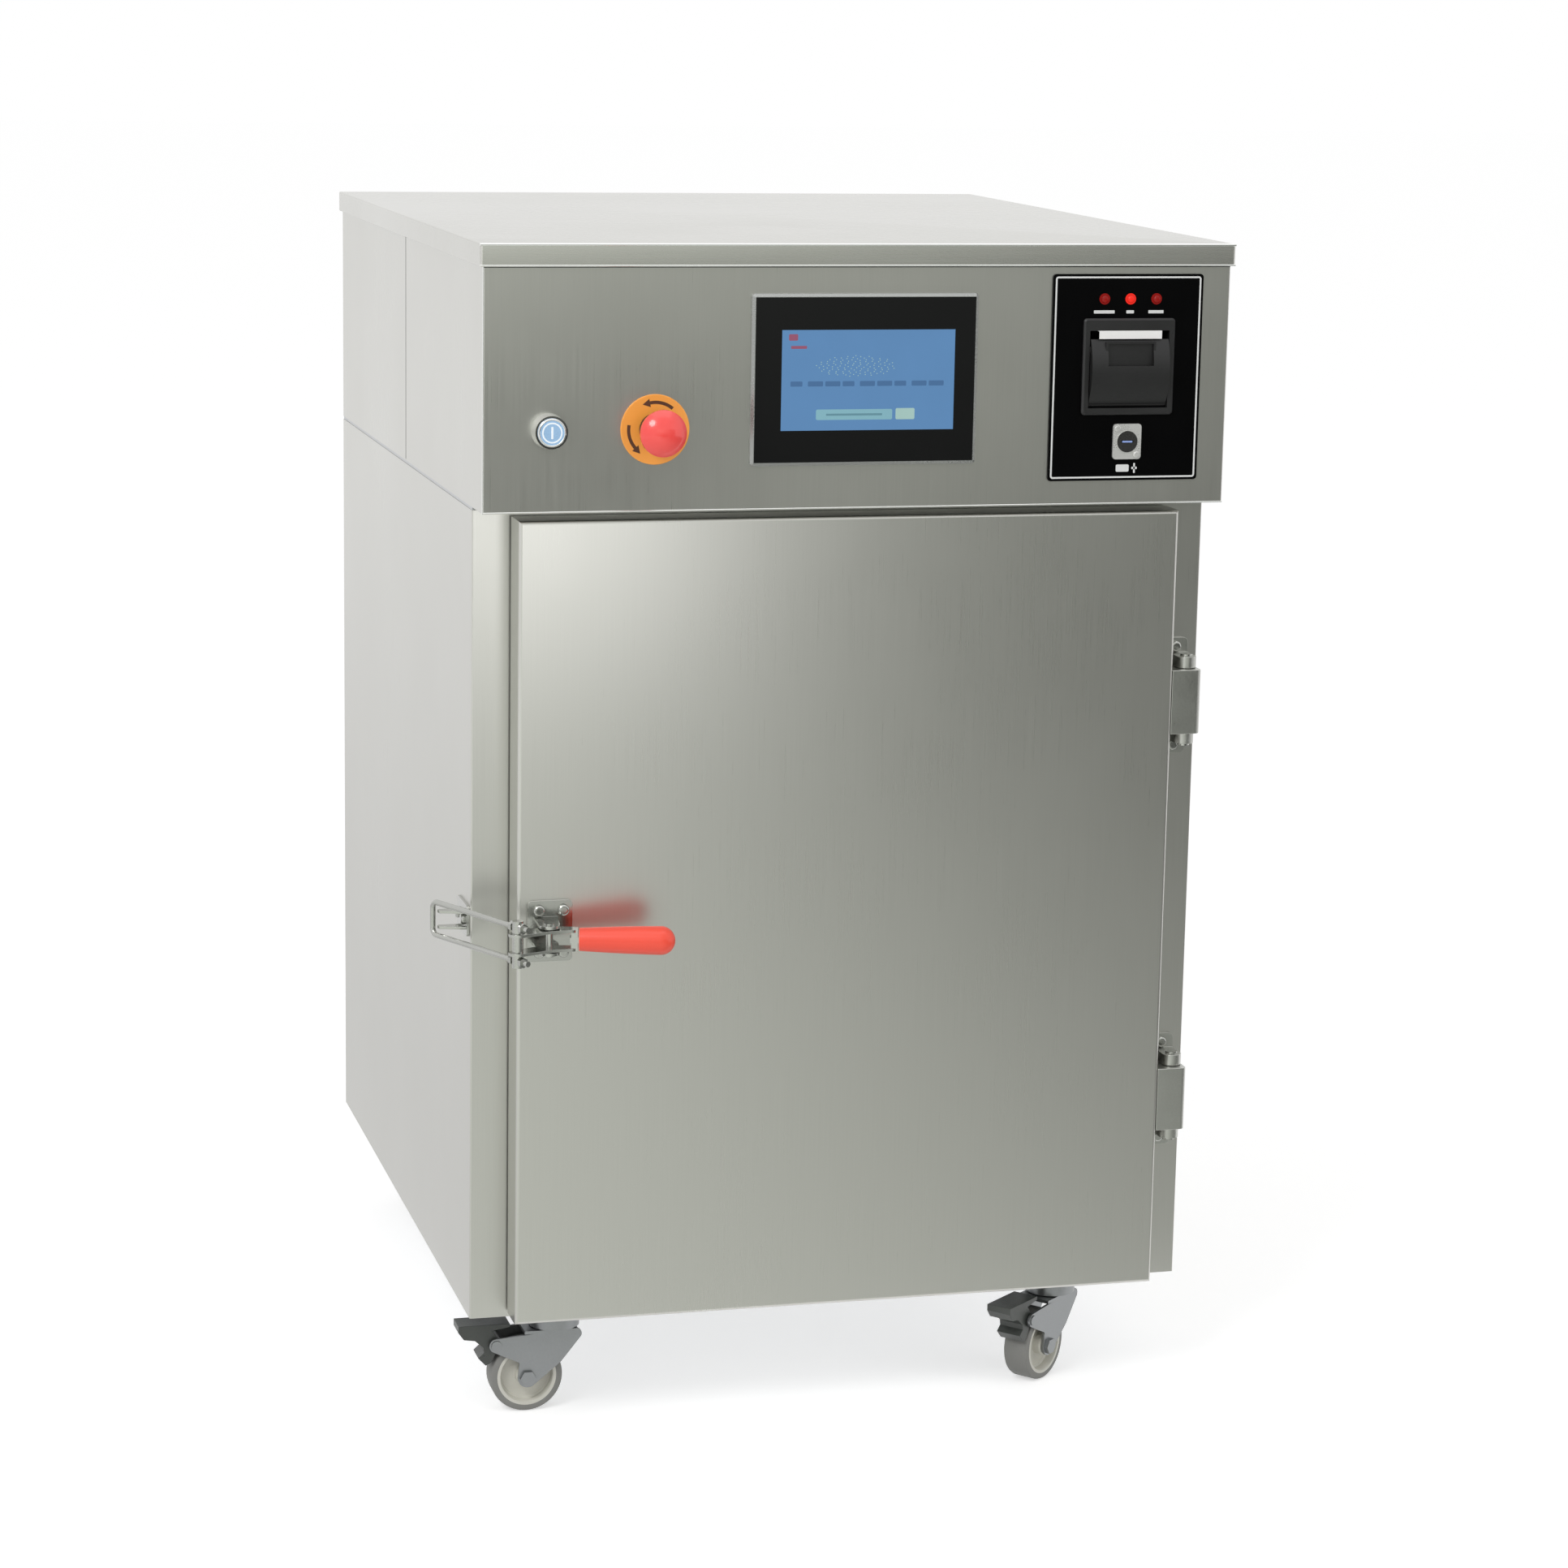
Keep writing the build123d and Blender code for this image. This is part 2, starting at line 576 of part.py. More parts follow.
def rear_housing():
    """Rest of the head's sides and its back, with vents, the pipe's hole and the inlet's cut-out."""
    y0 = HEAD_Y0 + HEAD_SPLIT + SPLIT_GAP
    shell = block(HEAD_X0, HEAD_X1, y0, HEAD_Y1, HEAD_Z0, HEAD_RIM)
    shell = fillet(shell.edges().filter_by(Axis.Z).group_by(Axis.Y)[-1], FOLD_R)
    x0, x1 = HEAD_X0 + SHEET, HEAD_X1 - SHEET
    shell -= block(x0, x1, y0 - 1, HEAD_Y1 - SHEET, HEAD_Z0 - 1, HEAD_RIM - SHEET)
    shell -= block(x0, x1, y0 - 1, HEAD_Y1 - PAN_LIP, HEAD_Z0, HEAD_RIM + 1)
    cut0, cut1 = HEAD_Y1 - SHEET - 1, HEAD_Y1 + 1
    shell -= rod_y(PUMP_MID_X, cut0, cut1, PUMP_PORT_Z, PIPE_R + CUT_GAP)
    half_w, half_h = INLET_BODY[0] / 2 + CUT_GAP, INLET_BODY[1] / 2 + CUT_GAP
    x, z = INLET_AT
    shell -= block(x - half_w, x + half_w, cut0, cut1, z - half_h, z + half_h)
    for i in range(VENT_COUNT):
        z = (HEAD_Z0 + HEAD_Z1) / 2 + (i - (VENT_COUNT - 1) / 2) * VENT_PITCH
        shell -= block(MID_X - VENT_L / 2, MID_X + VENT_L / 2, cut0, cut1, z - VENT_W / 2, z + VENT_W / 2)
    return shell


def top_cover():
    cover = block(TOP_X0, TOP_X1, TOP_Y0, TOP_Y1, HEAD_Z1, TOP_Z)
    cover = fillet(cover.edges().filter_by(Axis.Z), FOLD_R)
    cover = fillet(cover.edges().group_by(Axis.Z)[-1], SHEET * 0.9)
    inner = block(TOP_X0 + SHEET, TOP_X1 - SHEET, TOP_Y0 + SHEET, TOP_Y1 - SHEET, HEAD_Z1 - 1, HEAD_RIM)
    return cover - inner


# Chamber's inside

def heater_tails():
    return (FAN_X - HEATER_HALF / 4, FAN_X + HEATER_HALF / 4)


def rear_baffle():
    """Screen in front of the fan, with an intake of round holes and gaps round its edges."""
    x0, x1 = CHAMBER_X0 + BAFFLE_SLOT, CHAMBER_X1 - BAFFLE_SLOT
    z0, z1 = CHAMBER_Z0 + BAFFLE_SLOT, CHAMBER_Z1 - BAFFLE_SLOT
    plate = block(x0, x1, BAFFLE_Y, BAFFLE_Y + SHEET, z0, z1)
    for ring, count in ((0.0, 1), (24.0, 6), (48.0, 12), (72.0, 18)):
        for i in range(count):
            turn = 2 * math.pi * i / count
            x = FAN_X + ring * math.cos(turn)
            plate -= rod_y(x, BAFFLE_Y - 1, BAFFLE_Y + SHEET + 1, FAN_Z + ring * math.sin(turn), 8.0)
    inset = 3 * BAFFLE_POST_R
    for x in (x0 + inset, x1 - inset):
        for z in (z0 + inset, z1 - inset):
            plate += rod_y(x, BAFFLE_Y + SHEET / 2, CHAMBER_Y1, z, BAFFLE_POST_R)
    return plate


def heating_element():
    """Sheathed tube bent once round the fan, with both ends through the back wall."""
    y = CHAMBER_Y1 - FAN_BACK - FAN_DEPTH / 2
    low, high = FAN_Z - HEATER_HALF, FAN_Z + HEATER_HALF
    left, right = FAN_X - HEATER_HALF, FAN_X + HEATER_HALF
    tail0, tail1 = heater_tails()
    end = CHAMBER_Y1 + SHEET + HEATER_TAIL
    path = FilletPolyline(
        (tail0, end, low), (tail0, y, low), (left, y, low), (left, y, high),
        (right, y, high), (right, y, low), (tail1, y, low), (tail1, end, low),
        radius=HEATER_BEND,
    )
    tube = sweep(Plane(origin=(tail0, end, low), z_dir=(0, -1, 0)) * Circle(HEATER_R), path)
    for x in (tail0, tail1):
        tube += rod_y(x, CHAMBER_Y1 - HEATER_COLLAR_T, CHAMBER_Y1, low, HEATER_COLLAR_R)
    return tube


def fan_motor():
    y = CHAMBER_Y1 + SHEET
    motor = rod_y(FAN_X, y, y + MOTOR_FLANGE_T, FAN_Z, MOTOR_FLANGE_R)
    can = rod_y(FAN_X, y + MOTOR_FLANGE_T, y + MOTOR_FLANGE_T + MOTOR_L, FAN_Z, MOTOR_R)
    motor += fillet(can.edges().group_by(Axis.Y)[-1], 6)
    return motor - rod_y(FAN_X, y - 1, y + MOTOR_L * 0.8, FAN_Z, SHAFT_R + SHAFT_GAP)


def fan_impeller():
    """Radial impeller pressed on the motor's shaft."""
    back = CHAMBER_Y1 - FAN_BACK
    fan = rod_y(FAN_X, back - 2, back, FAN_Z, FAN_R)
    fan += rod_y(FAN_X, back - FAN_DEPTH, back, FAN_Z, 3 * SHAFT_R)
    fan += rod_y(FAN_X, back - FAN_DEPTH, CHAMBER_Y1 + SHEET + MOTOR_L * 0.7, FAN_Z, SHAFT_R)
    blade = block(FAN_R * 0.45, FAN_R - 3, back - FAN_DEPTH, back - 1, -1, 1)
    for i in range(BLADE_COUNT):
        fan += Pos(FAN_X, 0, FAN_Z) * Rot(0, 360 * i / BLADE_COUNT, 0) * blade
    return fan


def shelf_rails():
    """Two uprights and two ledges at each side of the chamber."""
    y0, y1 = BODY_Y0 + SHEET + RAIL_FRONT, BAFFLE_Y - SHELF_BACK
    sides = []
    for wall, inward in ((CHAMBER_X0, 1), (CHAMBER_X1, -1)):
        face = wall + inward * RAIL_T
        tip = face + inward * RAIL_LEDGE
        rack = None
        for y in (y0 + RAIL_POST_IN, y1 - RAIL_POST_IN):
            post = block(
                min(wall, face), max(wall, face), y - RAIL_POST_HALF, y + RAIL_POST_HALF, CHAMBER_Z0, CHAMBER_Z1
            )
            rack = post if rack is None else rack + post
        for level in SHELF_LEVELS:
            z = CHAMBER_Z0 + level
            foot = z - SHELF_LIP - RAIL_FOOT
            rack += block(min(wall, face), max(wall, face), y0, y1, foot, z)
            rack += block(min(wall, tip), max(wall, tip), y0, y1, foot, foot + SHEET)
        sides.append(rack)
    return group(*sides)


def shelf(level):
    """Perforated tray with turned-down edges, which rest on the rails' ledges."""
    half = (CHAMBER_X1 - CHAMBER_X0) / 2 - RAIL_T - SHELF_SIDE_GAP
    y0, y1 = BODY_Y0 + SHELF_FRONT, BAFFLE_Y - SHELF_BACK
    z = CHAMBER_Z0 + level
    low = z - SHELF_LIP - RAIL_FOOT + SHEET + SHELF_RUN
    tray = block(FAN_X - half, FAN_X + half, y0, y1, low, z)
    tray -= block(FAN_X - half + SHEET, FAN_X + half - SHEET, y0 + SHEET, y1 - SHEET, low - 1, z - SHEET)
    pitch_y = (y1 - y0 - 2 * SHELF_MARGIN) / SHELF_SLOT_ROWS
    pitch_x = 2 * (half - SHELF_MARGIN) / SHELF_SLOT_COLUMNS
    slots = []
    for row in range(SHELF_SLOT_ROWS):
        y = y0 + SHELF_MARGIN + (row + 0.5) * pitch_y
        for column in range(SHELF_SLOT_COLUMNS):
            x = FAN_X + (column - (SHELF_SLOT_COLUMNS - 1) / 2) * pitch_x
            slot = extrude(SlotOverall(SHELF_SLOT_L, SHELF_SLOT_W), SHEET + 2)
            slots.append(Pos(x, y, z - SHEET - 1) * slot)
    return tray - slots


# Door and hinges

def door_skin():
    """Outer pan of the door, open at its back."""
    pan = block(DOOR_X0, DOOR_X1, DOOR_Y0, DOOR_Y1 - SHEET, DOOR_Z0, DOOR_Z1)
    pan = fillet(pan.edges().group_by(Axis.Y)[0], DOOR_EDGE_R)
    well = block(
        DOOR_X0 + SHEET, DOOR_X1 - SHEET, DOOR_Y0 + SHEET, DOOR_Y1, DOOR_Z0 + SHEET, DOOR_Z1 - SHEET
    )
    well = fillet(well.edges().group_by(Axis.Y)[0], DOOR_EDGE_R - SHEET)
    return pan - well - base_screw_holes(SHEET + 1)


def door_inner_panel():
    """Flat back of the door, with a shallow pressed field inside the gasket."""
    panel = block(DOOR_X0, DOOR_X1, DOOR_Y1 - SHEET, DOOR_Y1, DOOR_Z0, DOOR_Z1)
    inset = GASKET_IN
    field = block(
        CHAMBER_X0 + inset, CHAMBER_X1 - inset, DOOR_Y1 - SHEET / 2, DOOR_Y1 + 1, CHAMBER_Z0 + inset, CHAMBER_Z1 - inset
    )
    return panel - field


def door_insulation():
    gap = SHEET + CUT_GAP
    y1 = DOOR_Y1 - SHEET
    wool = block(DOOR_X0 + gap, DOOR_X1 - gap, DOOR_Y0 + SHEET + CUT_GAP, y1, DOOR_Z0 + gap, DOOR_Z1 - gap)
    return wool - base_screw_holes(SCREW_GRIP + 1)


def door_gasket():
    """Silicone ring round the mouth, on the door's back."""
    y1 = BODY_Y0 - GASKET_SLACK
    outer = GASKET_IN + GASKET_W
    ring = block(CHAMBER_X0 - outer, CHAMBER_X1 + outer, DOOR_Y1, y1, CHAMBER_Z0 - outer, CHAMBER_Z1 + outer)
    ring = fillet(ring.edges().filter_by(Axis.Y), outer)
    inner = block(
        CHAMBER_X0 - GASKET_IN, CHAMBER_X1 + GASKET_IN, DOOR_Y1 - 1, y1 + 1,
        CHAMBER_Z0 - GASKET_IN, CHAMBER_Z1 + GASKET_IN,
    )
    return ring - fillet(inner.edges().filter_by(Axis.Y), GASKET_IN)


def hinge_blocks():
    """Block on the door's edge that turns round the pin."""
    blocks = []
    for z in HINGE_ZS:
        y0 = DOOR_Y0 + BLOCK_NOSE
        body = block(DOOR_X1, DOOR_X1 + BLOCK_W, y0, y0 + BLOCK_D, z - BLOCK_H / 2, z + BLOCK_H / 2)
        outer = body.edges().filter_by(Axis.Z).sort_by(Axis.X)[-2:]
        body = fillet(outer, 5)
        body -= rod_z(HINGE_X, HINGE_Y, z - BLOCK_H, z + BLOCK_H, PIN_R + PIN_GAP)
        blocks.append(body)
    return group(*blocks)


def hinge_brackets():
    """Plate on the front frame with two arms that end in the pin's knuckles."""
    brackets = []
    x0 = HINGE_X + KNUCKLE_R - BRACKET_W
    for z in HINGE_ZS:
        plate = block(x0, x0 + BRACKET_W, BODY_Y0 - BRACKET_T, BODY_Y0, z - BRACKET_H / 2, z + BRACKET_H / 2)
        plate = fillet(plate.edges().filter_by(Axis.Y), 5)
        for side in (-1, 1):
            near = z + side * (BLOCK_H / 2 + KNUCKLE_GAP)
            far = near + side * KNUCKLE_H
            low, high = min(near, far), max(near, far)
            arm = rod_z(HINGE_X, HINGE_Y, low, high, KNUCKLE_R)
            arm += block(
                HINGE_X - KNUCKLE_R, HINGE_X + KNUCKLE_R, HINGE_Y, BODY_Y0 - BRACKET_T / 2, low, high
            )
            plate += arm
        plate -= rod_z(HINGE_X, HINGE_Y, z - BRACKET_H, z + BRACKET_H, PIN_R + PIN_GAP)
        brackets.append(plate - bracket_holes())
    return group(*brackets)


def bracket_screw_places():
    x = HINGE_X + KNUCKLE_R - BRACKET_W / 2
    rise = BRACKET_H / 2 - BRACKET_SCREW_INSET
    return [(x, z + side * rise) for z in HINGE_ZS for side in (-1, 1)]


def bracket_holes():
    """Screw holes through the hinge brackets and the front frame."""
    places = bracket_screw_places()
    holes = [rod_y(x, BODY_Y0 - BRACKET_T - 1, BODY_Y0 + SHEET + 1, z, SCREW_R + SCREW_GAP) for x, z in places]
    return Compound(holes)


def hinge_pins():
    pins = []
    for z in HINGE_ZS:
        reach = BLOCK_H / 2 + KNUCKLE_GAP + KNUCKLE_H
        pin = rod_z(HINGE_X, HINGE_Y, z - reach, z + reach, PIN_R)
        for low in (z - reach - PIN_HEAD_H, z + reach):
            pin += rod_z(HINGE_X, HINGE_Y, low, low + PIN_HEAD_H, PIN_HEAD_R)
        pins.append(pin)
    return group(*pins)


def front_screw(x, y, z):
    """Dome head lying on a face that looks to the front, with its shank behind."""
    head = rod_y(x, y - SCREW_HEAD_H, y, z, SCREW_HEAD_R)
    head = fillet(head.edges().group_by(Axis.Y)[0], SCREW_HEAD_H * 0.6)
    return head + rod_y(x, y, y + SCREW_GRIP, z, SCREW_R)


def cabinet_fasteners():
    """Screws of the hinge brackets and of the latch's catch, and the castors' bolts."""
    screws = [front_screw(x, BODY_Y0 - BRACKET_T, z) for x, z in bracket_screw_places()]
    for y in CATCH_SCREW_Y:
        x1 = BODY_X0 - CATCH_T
        head = rod_x(x1 - SCREW_HEAD_H, x1, BODY_Y0 + y, LATCH_Z, SCREW_HEAD_R)
        head = fillet(head.edges().group_by(Axis.X)[0], SCREW_HEAD_H * 0.6)
        screws.append(head + rod_x(x1, x1 + SCREW_GRIP, BODY_Y0 + y, LATCH_Z, SCREW_R))
    for x, y in CASTER_AT.values():
        screws += mount_bolts(x, y)
    return group(*screws)


# Latch

def latch_base():
    """Plate on the door with two ears for the lever's pivot pin."""
    y1 = DOOR_Y0
    plate = block(
        DOOR_X0 + BASE_X[0], DOOR_X0 + BASE_X[1], y1 - BASE_T, y1, LATCH_Z - BASE_HALF_H, LATCH_Z + BASE_HALF_H
    )
    plate = fillet(plate.edges().filter_by(Axis.Y), 4)
    foot0, foot1 = DOOR_X0 + BASE_EAR_FOOT[0], DOOR_X0 + BASE_EAR_FOOT[1]
    foot_y = y1 - BASE_T / 2
    ear_in = ARM_IN + ARM_T + EAR_GAP
    for low in (LATCH_Z - ear_in - EAR_T, LATCH_Z + ear_in):
        ring = [(PIVOT[0], PIVOT[1], ARM_PIVOT_R), (foot0 + 1, foot_y, 1.0), (foot1 - 1, foot_y, 1.0)]
        plate += slab(ring, low, low + EAR_T)
    plate -= rod_z(*PIVOT, LATCH_Z - BASE_HALF_H, LATCH_Z + BASE_HALF_H, LATCH_PIN_R + LATCH_RUN)
    return plate - base_screw_holes(SHEET)


def base_screw_places():
    return [(DOOR_X0 + x, LATCH_Z + side * BASE_SCREW_Z) for x in BASE_SCREW_X for side in (-1, 1)]


def base_screw_holes(depth):
    """Holes from before the latch's base to a depth behind the door's front."""
    y0, y1 = DOOR_Y0 - BASE_T - 1, DOOR_Y0 + depth
    return Compound([rod_y(x, y0, y1, z, SCREW_R + SCREW_GAP) for x, z in base_screw_places()])


def latch_fasteners():
    """The base's four screws and the lever's pivot pin."""
    screws = [front_screw(x, DOOR_Y0 - BASE_T, z) for x, z in base_screw_places()]
    reach = ARM_IN + ARM_T + EAR_GAP + EAR_T
    pin = rod_z(*PIVOT, LATCH_Z - reach, LATCH_Z + reach, LATCH_PIN_R)
    for low in (LATCH_Z - reach - LATCH_PIN_HEAD_H, LATCH_Z + reach):
        pin += rod_z(*PIVOT, low, low + LATCH_PIN_HEAD_H, LATCH_PIN_HEAD_R)
    return group(*screws, pin)


def grip_frame():
    """Place and direction of the grip's axis."""
    x0, y0 = DOOR_X0 + GRIP_START[0], DOOR_Y0 + GRIP_START[1]
    dx, dy = GRIP_END[0] - GRIP_START[0], GRIP_END[1] - GRIP_START[1]
    return Pos(x0, y0, LATCH_Z) * Rot(0, 0, math.degrees(math.atan2(dy, dx))), math.hypot(dx, dy)


def lever_tang(gap=0.0):
    """Flat tang of the lever inside the grip, in the grip's own frame."""
    length = grip_frame()[1] - TANG_TO_END
    return block(-6.0, length + gap, -TANG_HALF_W, TANG_HALF_W, -TANG_HALF_T, TANG_HALF_T)


def latch_lever():
    """Two curved arms joined at the grip's end, with a flat tang that the grip covers."""
    place, _ = grip_frame()
    neck_at = place * Pos(-ARM_NECK_R + 1, 0, 0)
    neck = (neck_at.position.X, neck_at.position.Y, ARM_NECK_R)
    lever = None
    for low in (LATCH_Z - ARM_IN - ARM_T, LATCH_Z + ARM_IN):
        arm = slab([(*TRUNNION, ARM_END_R), (*PIVOT, ARM_PIVOT_R)], low, low + ARM_T)
        arm += slab([(*PIVOT, ARM_PIVOT_R), neck], low, low + ARM_T)
        lever = arm if lever is None else lever + arm
    width = ARM_IN + ARM_T
    lever += place * block(-5.0, 1.0, -ARM_NECK_R + 2, ARM_NECK_R - 2, -width, width)
    lever += place * lever_tang()
    lever -= rod_z(*TRUNNION, LATCH_Z - width - 1, LATCH_Z + width + 1, TRUNNION_R + LATCH_RUN)
    return lever - rod_z(*PIVOT, LATCH_Z - width - 1, LATCH_Z + width + 1, LATCH_PIN_R + LATCH_RUN)


def latch_grip():
    """Dipped grip that widens towards a round end."""
    place, length = grip_frame()
    shoulder = length - GRIP_R1 + 2.0
    mid = shoulder + (length + 2.0 - shoulder) * math.sin(math.radians(45))
    outline = Line((2, 0), (2, GRIP_R0)) + Spline((2, GRIP_R0), (shoulder / 2, GRIP_R0 + 1.6), (shoulder, GRIP_R1))
    outline += ThreePointArc((shoulder, GRIP_R1), (mid, GRIP_R1 * math.cos(math.radians(45))), (length + 2.0, 0))
    outline += Line((length + 2.0, 0), (2, 0))
    grip = revolve(make_face(outline), Axis.X)
    return place * (grip - lever_tang())


def hook_trunnion():
    """Cross bar in the lever's end, drilled for the hook bolt's two rods."""
    bar = rod_z(*TRUNNION, LATCH_Z - TRUNNION_HALF, LATCH_Z + TRUNNION_HALF, TRUNNION_R)
    for side in (-1, 1):
        hole = Rot(0, 90, 0) * Cylinder(ROD_R + LATCH_RUN, 4 * TRUNNION_R)
        bar -= Pos(*TRUNNION, LATCH_Z + side * ROD_HALF_SPAN) * Rot(0, 0, ROD_ANGLE) * hole
    return bar


def hook_bolt():
    """U-shaped bolt and the four nuts that hold it on the cross bar."""
    tail = (TRUNNION[0] - ROD_TAIL * ROD_DIR[0], TRUNNION[1] - ROD_TAIL * ROD_DIR[1])
    high, low = LATCH_Z + ROD_HALF_SPAN, LATCH_Z - ROD_HALF_SPAN
    path = FilletPolyline((*tail, high), (*HOOK_END, high), (*HOOK_END, low), (*tail, low), radius=ROD_BEND)
    start = Plane(origin=(*tail, high), z_dir=(*ROD_DIR, 0))
    bolt = sweep(start * Circle(ROD_R), path)
    nuts = []
    for z in (low, high):
        for side in (-1, 1):
            along = side * (TRUNNION_R + NUT_GAP + NUT_T / 2)
            nut = extrude(RegularPolygon(NUT_FLATS / 2, 6, major_radius=False), NUT_T / 2, both=True)
            nut -= Cylinder(ROD_R, NUT_T + 1)
            x, y = TRUNNION[0] + along * ROD_DIR[0], TRUNNION[1] + along * ROD_DIR[1]
            nuts.append(Pos(x, y, z) * Rot(0, 0, ROD_ANGLE) * Rot(0, 90, 0) * nut)
    return group(bolt, *nuts)


def hook_seated():
    """Where the bolt's far end lies once the lever is pressed home."""
    seat = turn_about(TRUNNION, PIVOT, LEVER_SEAT)
    end = turn_about(HOOK_END, TRUNNION, -LEVER_SEAT)
    return (end[0] + seat[0] - TRUNNION[0], end[1] + seat[1] - TRUNNION[1])


def latch_catch():
    """Bent bracket on the cabinet's side, with two prongs that the hook bolt seats behind."""
    y0, y1 = BODY_Y0 + CATCH_FRONT, BODY_Y0 + CATCH_BACK
    x1 = BODY_X0
    plate = block(x1 - CATCH_T, x1, y0, y1, LATCH_Z - CATCH_HALF_H, LATCH_Z + CATCH_HALF_H)
    plate = fillet(plate.edges().filter_by(Axis.X), 4)
    tip = HOOK_END[0] + ROD_R + PRONG_GAP
    face = min(HOOK_END[1], hook_seated()[1]) - ROD_R - PRONG_GAP
    front = BODY_Y0 + PRONG_FRONT
    for low in (LATCH_Z - PRONG_IN - PRONG_T, LATCH_Z + PRONG_IN):
        outline = Polyline(
            [
                (x1 - CATCH_T / 2, front), (x1 - CATCH_T / 2, face + 1.5), (x1 - CATCH_T - 1.5, face),
                (tip + 1.5, face), (tip, face - 2.5), (tip + 1, face - 7),
            ],
            close=True,
        )
        plate += Pos(0, 0, low) * extrude(make_face(outline), PRONG_T)
    return plate - catch_holes()


def catch_holes():
    """Screw holes through the catch and the cabinet's left side."""
    x0, x1 = BODY_X0 - CATCH_T - 1, BODY_X0 + SHEET + 1
    return Compound([rod_x(x0, x1, BODY_Y0 + y, LATCH_Z, SCREW_R + SCREW_GAP) for y in CATCH_SCREW_Y])


# Console pieces

def screen_bezel():
    """Bevelled frame of the touch screen, with its case behind the panel."""
    w, h = SCREEN_W / 2, SCREEN_H / 2
    frame = block(MID_X - w, MID_X + w, HEAD_Y0 - SCREEN_PROUD, HEAD_Y0, SCREEN_Z - h, SCREEN_Z + h)
    frame = fillet(frame.edges().filter_by(Axis.Y), 3)
    frame = chamfer(frame.edges().group_by(Axis.Y)[0], SCREEN_CHAMFER)
    w, h = w - SCREEN_EDGE, h - SCREEN_EDGE
    front = HEAD_Y0 - SCREEN_PROUD
    frame -= block(MID_X - w, MID_X + w, front - 1, front + GLASS_T, SCREEN_Z - h, SCREEN_Z + h)
    w, h = SCREEN_W / 2 - SCREEN_CASE_INSET, SCREEN_H / 2 - SCREEN_CASE_INSET
    return frame + block(MID_X - w, MID_X + w, HEAD_Y0, HEAD_Y0 + SCREEN_CASE_D, SCREEN_Z - h, SCREEN_Z + h)


def screen_glass():
    w = SCREEN_W / 2 - SCREEN_EDGE - GLASS_GAP
    h = SCREEN_H / 2 - SCREEN_EDGE - GLASS_GAP
    front = HEAD_Y0 - SCREEN_PROUD
    return block(MID_X - w, MID_X + w, front, front + GLASS_T, SCREEN_Z - h, SCREEN_Z + h)


def lamp_places():
    return [PLATE_MID_X + LAMP_X + i * LAMP_PITCH for i in (-1, 0, 1)]


def printer_plate():
    """Black plate behind the lamps, the printer and the socket."""
    w, h = PLATE_W / 2, PLATE_H / 2
    plate = block(PLATE_MID_X - w, PLATE_MID_X + w, PLATE_Y, HEAD_Y0, PLATE_MID_Z - h, PLATE_MID_Z + h)
    plate = fillet(plate.edges().filter_by(Axis.Y), PLATE_R)
    return plate - plate_cuts(PLATE_Y - 1, HEAD_Y0 + 1)


def indicator_lamps():
    lamps = []
    z = TOP_Z - LAMP_DROP
    for x in lamp_places():
        lens = rod_y(x, PLATE_Y - LAMP_PROUD, PLATE_Y, z, LAMP_R)
        lens = fillet(lens.edges().group_by(Axis.Y)[0], LAMP_R * 0.8)
        lens += rod_y(x, PLATE_Y - LAMP_FLANGE_T, PLATE_Y, z, LAMP_FLANGE_R)
        lamps.append(lens + rod_y(x, PLATE_Y, PLATE_Y + LAMP_BARREL, z, LAMP_R))
    return group(*lamps)


def printer_frame():
    """Front flange and paper bay of the receipt printer, with the roll's two spindle stubs."""
    half = PRINTER_SIZE / 2
    x, z = PRINTER_MID_X, PRINTER_MID_Z
    frame = block(x - half, x + half, PLATE_Y - PRINTER_PROUD, PLATE_Y, z - half, z + half)
    frame = fillet(frame.edges().filter_by(Axis.Y), 3)
    frame = chamfer(frame.edges().group_by(Axis.Y)[0], PRINTER_CHAMFER)
    z0, z1 = z - BAY_BOTTOM, z + BAY_TOP
    case = PRINTER_CASE_HALF_W
    frame += block(
        x - case, x + case, PLATE_Y, PLATE_Y + PRINTER_CASE_D, z0 - PRINTER_WALL, z1 + PRINTER_WALL
    )
    bay = case - PRINTER_WALL
    frame -= block(
        x - bay, x + bay, PLATE_Y - PRINTER_PROUD - 1, PLATE_Y + PRINTER_CASE_D - PRINTER_WALL, z0, z1
    )
    roll_y, roll_z = roll_place()
    for side in (-1, 1):
        stub_end = ROLL_W / 2 - SPINDLE_BITE
        low, high = sorted((x + side * stub_end, x + side * (bay + PRINTER_WALL / 2)))
        frame += rod_x(low, high, roll_y, roll_z, ROLL_BORE - SPINDLE_GAP)
        hole0, hole1 = sorted((x + side * (bay - 1), x + side * (bay + COVER_STUB_L + CUT_GAP)))
        frame -= rod_x(hole0, hole1, *COVER_HINGE, COVER_STUB_R + BUTTON_GAP)
    return frame


def roll_place():
    return PLATE_Y + ROLL_IN, PRINTER_MID_Z - ROLL_DROP


